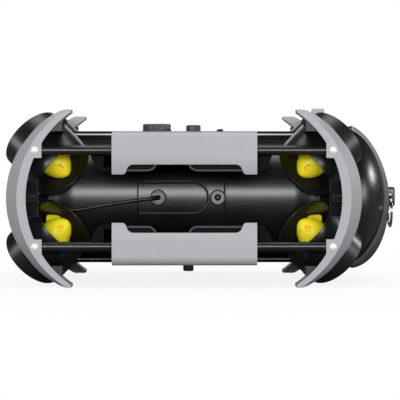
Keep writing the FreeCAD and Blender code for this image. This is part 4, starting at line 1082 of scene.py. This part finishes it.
def makeKnobPiece(name, k, f):
    seat, edge, foot = f["seat"], f["edge"], f["foot"]
    top, radius, spigot = k["top"], k["radius"], k["spigot"]
    skirtTop, skirtRadius = seat + f["skirt"], radius - f["skirtIn"]
    floor, lip = top - k["dish"], radius * f["lip"]
    profile = [(seat - f["depth"], 0.0), (seat - f["depth"], spigot), (seat, spigot), (seat, radius - foot)]
    profile += [(seat + foot, skirtRadius), (skirtTop, skirtRadius), (skirtTop + f["step"], radius)]
    profile += arc(top - edge, radius - edge, edge, 90, 0, 5)
    profile += [(top, lip + f["lipEdge"]), (floor, lip), (floor, 0.0)]
    piece = turnedPiece(name + "_shaped", profile, k["flutes"] * f["stepsPerFlute"])
    fluteKnob(piece, k, f)
    x, y = lip * f["slotShare"], f["slotWidth"] / 2
    slot = boxPiece("slot", (-x, -y, floor - f["slotDepth"]), (x, y, top + 1))
    slot.location = -middle
    carve(piece, settle(slot))
    putOnAxis(piece, at(k["x"], 0, 0), (0, 0, k["side"]), (1, 0, 0))
    smooth(piece, 32)
    place(piece, name, "knobGrey", "knob_grey", [name])


def fluteKnob(piece, k, f):
    pitch = 2 * math.pi / k["flutes"]
    low = (f["seat"] + f["skirt"] + f["fluteFrom"]) * mm
    reach = (k["radius"] - f["edge"] - f["fluteReach"]) * mm
    keep = 1 - f["fluteDepth"]
    for share in f["fluteShares"]:
        clearChoice(piece, "VERT")
        for vertex in piece.data.vertices:
            x, y, z = vertex.co
            angle = math.atan2(y, x) / pitch
            vertex.select = abs(angle - round(angle)) < share and z > low and math.hypot(x, y) > reach
        meshMode()
        bpy.ops.transform.resize(value=(keep, keep, 1), center_override=(0, 0, 0))
        objectMode()


for knobName, knobValues in knobs.items():
    makeKnobPiece(knobName, knobValues, knobForm)
print("knobs made")


# pieces that keep the drawn shape with their edges eased: edge width, bevel segments, what they wear where
# it isn't their slot's surface, and the width and depth of a sunk face, whose raised rim gets a painted
# highlight
eased = {
    "end_guard": (1.0, 4),
    "side_shell": (1.3, 5),
    "cradles": (0.5, 3, "cradleBlack", (1.5, 0.7)),
    "end_frame": (0.5, 2, "blackShade"),
    "top_rail": (0.4, 2, "blackShade"),
    "keel_rail": (0.4, 2, "blackShade"),
    "duct_clips": (0.5, 2, "blackMoulded"),
    "corner_tube": (0.4, 2),
    "tether_lug": (0.6, 3),
    "slide_switch": (0.4, 2, "blackShade"),
}
easedForm = {"flatAngle": 0.2, "bevelAngle": 32, "faceSlack": 0.5, "rimSlack": 0.1}
# the side shells bow in towards the hull, from a height above the hull axis down to their inner edge
shellBow = {"from": 40.0, "to": 22.0, "steps": 8, "offset": 3.2}
# strips along both sides of the rails: place across and up from the hull axis, radius
railStrips = ((26.0, 61.2, 0.75),)


def bareCopy(node, name):
    piece = copyOf(frame["nodes"][node], name)
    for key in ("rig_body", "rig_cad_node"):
        if key in piece:
            del piece[key]
    pick(piece)
    meshMode()
    selectAll()
    bpy.ops.mesh.remove_doubles(threshold=weldGap)
    bpy.ops.mesh.dissolve_limited(angle_limit=math.radians(easedForm["flatAngle"]))
    objectMode()
    return piece


def looksOut(face, side, reach):
    return face.normal.y * side > facing and abs(face.center.y - middle.y) > reach


# the faces that look out to either side keep a raised rim and sink inside it, and the rim is marked for a
# painted highlight
def sinkFaces(piece, width, depth):
    reach = max(abs(vertex.co.y - middle.y) for vertex in piece.data.vertices)
    for side in (-1, 1):
        chooseFaces(piece, lambda face: looksOut(face, side, reach - easedForm["faceSlack"] * mm))
        bpy.ops.mesh.inset(thickness=width * mm, use_even_offset=True)
        extrude((0, -side * depth * mm, 0))
        objectMode()
    # painted highlight: rim faces get 1, which the cradle surface turns into a paler tone
    rimHighlight = piece.data.attributes.new("paintedShadeAndHighlight", "FLOAT", "FACE")
    for face in piece.data.polygons:
        onRim = any(looksOut(face, side, reach - easedForm["rimSlack"] * mm) for side in (-1, 1))
        rimHighlight.data[face.index].value = float(onRim)


def bowShell(piece, up):
    b = shellBow
    span = b["from"] - b["to"]
    clearChoice(piece, "FACE")
    meshMode()
    for i in range(b["steps"]):
        selectAll()
        height = up * (b["from"] - span * i / b["steps"])
        bpy.ops.mesh.bisect(plane_co=at(0, 0, height), plane_no=(0, 0, 1))
    objectMode()
    for vertex in piece.data.vertices:
        spot = (vertex.co - middle) / mm
        share = max(0.0, (b["from"] - up * spot.z) / span)
        vertex.co.y -= math.copysign(b["offset"] * mm * share ** 2, spot.y)


def easedNode(node, width, segments, look=None, rim=None):
    piece = bareCopy(node, node + "_eased")
    if rim:
        sinkFaces(piece, *rim)
    if node.startswith("side_shell"):
        bowShell(piece, 1 if "upper" in node else -1)
    useModifier(piece, "BEVEL", width=width * mm, segments=segments, limit_method="ANGLE",
                angle_limit=math.radians(easedForm["bevelAngle"]), miter_outer="MITER_ARC")
    smooth(piece)
    useModifier(piece, "WEIGHTED_NORMAL", keep_sharp=True)
    slotName = slotOf[node]
    place(piece, frame["nodes"][node]["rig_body"], look or slotSurface[slotName], slotName, [node])


def addRailStrips(node, up):
    ends = [(corner.x - middle.x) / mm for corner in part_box(node)]
    pieces = [bpy.data.objects[node + "_eased"]]
    for across, height, radius in railStrips:
        for side in (-1, 1):
            start, end = (at(x, side * across, up * height) for x in ends)
            strip = rodPiece("railStrip", radius, start, end, 40)
            smooth(strip, 40)
            pieces.append(strip)
    joined(pieces, node + "_eased")


for nodeName in sorted(frame["nodes"]):
    for startName, easedValues in eased.items():
        if nodeName.startswith(startName):
            easedNode(nodeName, *easedValues)
addRailStrips("top_rail", 1)
addRailStrips("keel_rail", -1)
print("edges eased")


# camera: near the height of the top rail, far back, aimed a little below the middle
camera = {"place": (-0.0174, -1.797, 0.112), "aim": (-0.0045, 0.0, 0.0789), "lens": 162.2, "sensor": 36.0}
# soft boxes: where, how large, how strong; all aimed at the middle of the part
lamps = {
    "frontBox": {"place": (-0.05, -2.3, 0.42), "size": (1.9, 0.34), "power": 22.5},
    "leftBox": {"place": (-1.95, -0.46, 0.24), "size": (0.85, 0.46), "power": 5.0},
    "rightBox": {"place": (1.95, -0.46, 0.24), "size": (0.85, 0.46), "power": 5.0},
    "leftFill": {"place": (-1.25, -1.7, 0.32), "size": (0.6, 0.5), "power": 7.5},
    "rightFill": {"place": (1.25, -1.7, 0.32), "size": (0.6, 0.5), "power": 7.5},
    "rimBox": {"place": (1.78, 0.80, 0.55), "size": (0.34, 0.26), "power": 4.5},
    "topBox": {"place": (0.0, -0.1, 1.7), "size": (1.6, 0.8), "power": 10.0},
    "backBox": {"place": (0.0, 1.8, 0.9), "size": (1.6, 0.5), "power": 5.0},
}
lampAim = (0.0, 0.0, 0.08)
backdrop = {
    "fill": 0.36, "seenInGloss": 0.05, "floorSize": 12.0, "floorTone": 0.14, "floorRough": 0.9,
    "floorSpecular": 0.1, "floorLift": 0.86, "whiteFrom": (0.30, 0.75),
}


def aimedObject(data, spot, aim):
    obj = addToScene(data.name, data)
    obj.location = spot
    obj.rotation_euler = (Vector(aim) - Vector(spot)).to_track_quat("-Z", "Y").to_euler()
    return obj


def makeCamera():
    data = bpy.data.cameras.new("studioCamera")
    data.lens = camera["lens"]
    data.sensor_width = camera["sensor"]
    bpy.context.scene.camera = aimedObject(data, camera["place"], camera["aim"])


def makeLamps():
    for name, values in lamps.items():
        data = bpy.data.lights.new(name, "AREA")
        data.shape = "RECTANGLE"
        data.size, data.size_y = values["size"]
        data.energy = values["power"]
        aimedObject(data, values["place"], lampAim)


# the backdrop is white to the camera and through glass, dim in reflections, and fills softly otherwise
def makeWorld():
    world = bpy.data.worlds.new("studioWorld")
    bpy.context.scene.world = world
    world.use_nodes = True
    tree = world.node_tree
    rays = tree.nodes.new("ShaderNodeLightPath").outputs
    fill = backdrop["fill"]
    seen = calculate(tree, "MAXIMUM", rays["Is Camera Ray"], rays["Is Transmission Ray"])
    filled = calculate(tree, "ADD", calculate(tree, "MULTIPLY", seen, 1.0 - fill), fill)
    darker = calculate(tree, "MULTIPLY", rays["Is Glossy Ray"], backdrop["seenInGloss"] - fill)
    setInputs(tree.nodes["Background"], {"Color": (1.0, 1.0, 1.0, 1.0),
                                         "Strength": calculate(tree, "ADD", filled, darker)})


# the near floor keeps the shadow, and further out it turns plain white
def makeFloor():
    bpy.ops.mesh.primitive_plane_add(size=backdrop["floorSize"], location=(0, 0, 0))
    floor = newest("studioFloor")
    material, tree, shader, position = newMaterial("studioFloor")
    tone = backdrop["floorTone"]
    setInputs(shader, {"Base Color": (tone, tone, tone, 1.0), "Roughness": backdrop["floorRough"],
                       "Specular IOR Level": backdrop["floorSpecular"]})
    reach = addNode(tree, "ShaderNodeVectorMath", operation="LENGTH", Vector=position)
    far = ranged(tree, reach.outputs["Value"], 0.0, 1.0, *backdrop["whiteFrom"])
    seen = tree.nodes.new("ShaderNodeLightPath").outputs["Is Camera Ray"]
    lift = calculate(tree, "MULTIPLY", seen, backdrop["floorLift"])
    lifted = combine(tree, "ShaderNodeEmission", Strength=lift)
    white = combine(tree, "ShaderNodeEmission", Strength=1.0)
    near = combine(tree, "ShaderNodeAddShader", shader.outputs[0], lifted)
    mix = combine(tree, "ShaderNodeMixShader", calculate(tree, "MULTIPLY", seen, far), near, white)
    setInputs(tree.nodes["Material Output"], {"Surface": mix})
    dress(floor, material)


makeCamera()
makeLamps()
makeWorld()
makeFloor()
bpy.context.scene.view_settings.view_transform = "Standard"
print("camera, lamps and floor made")
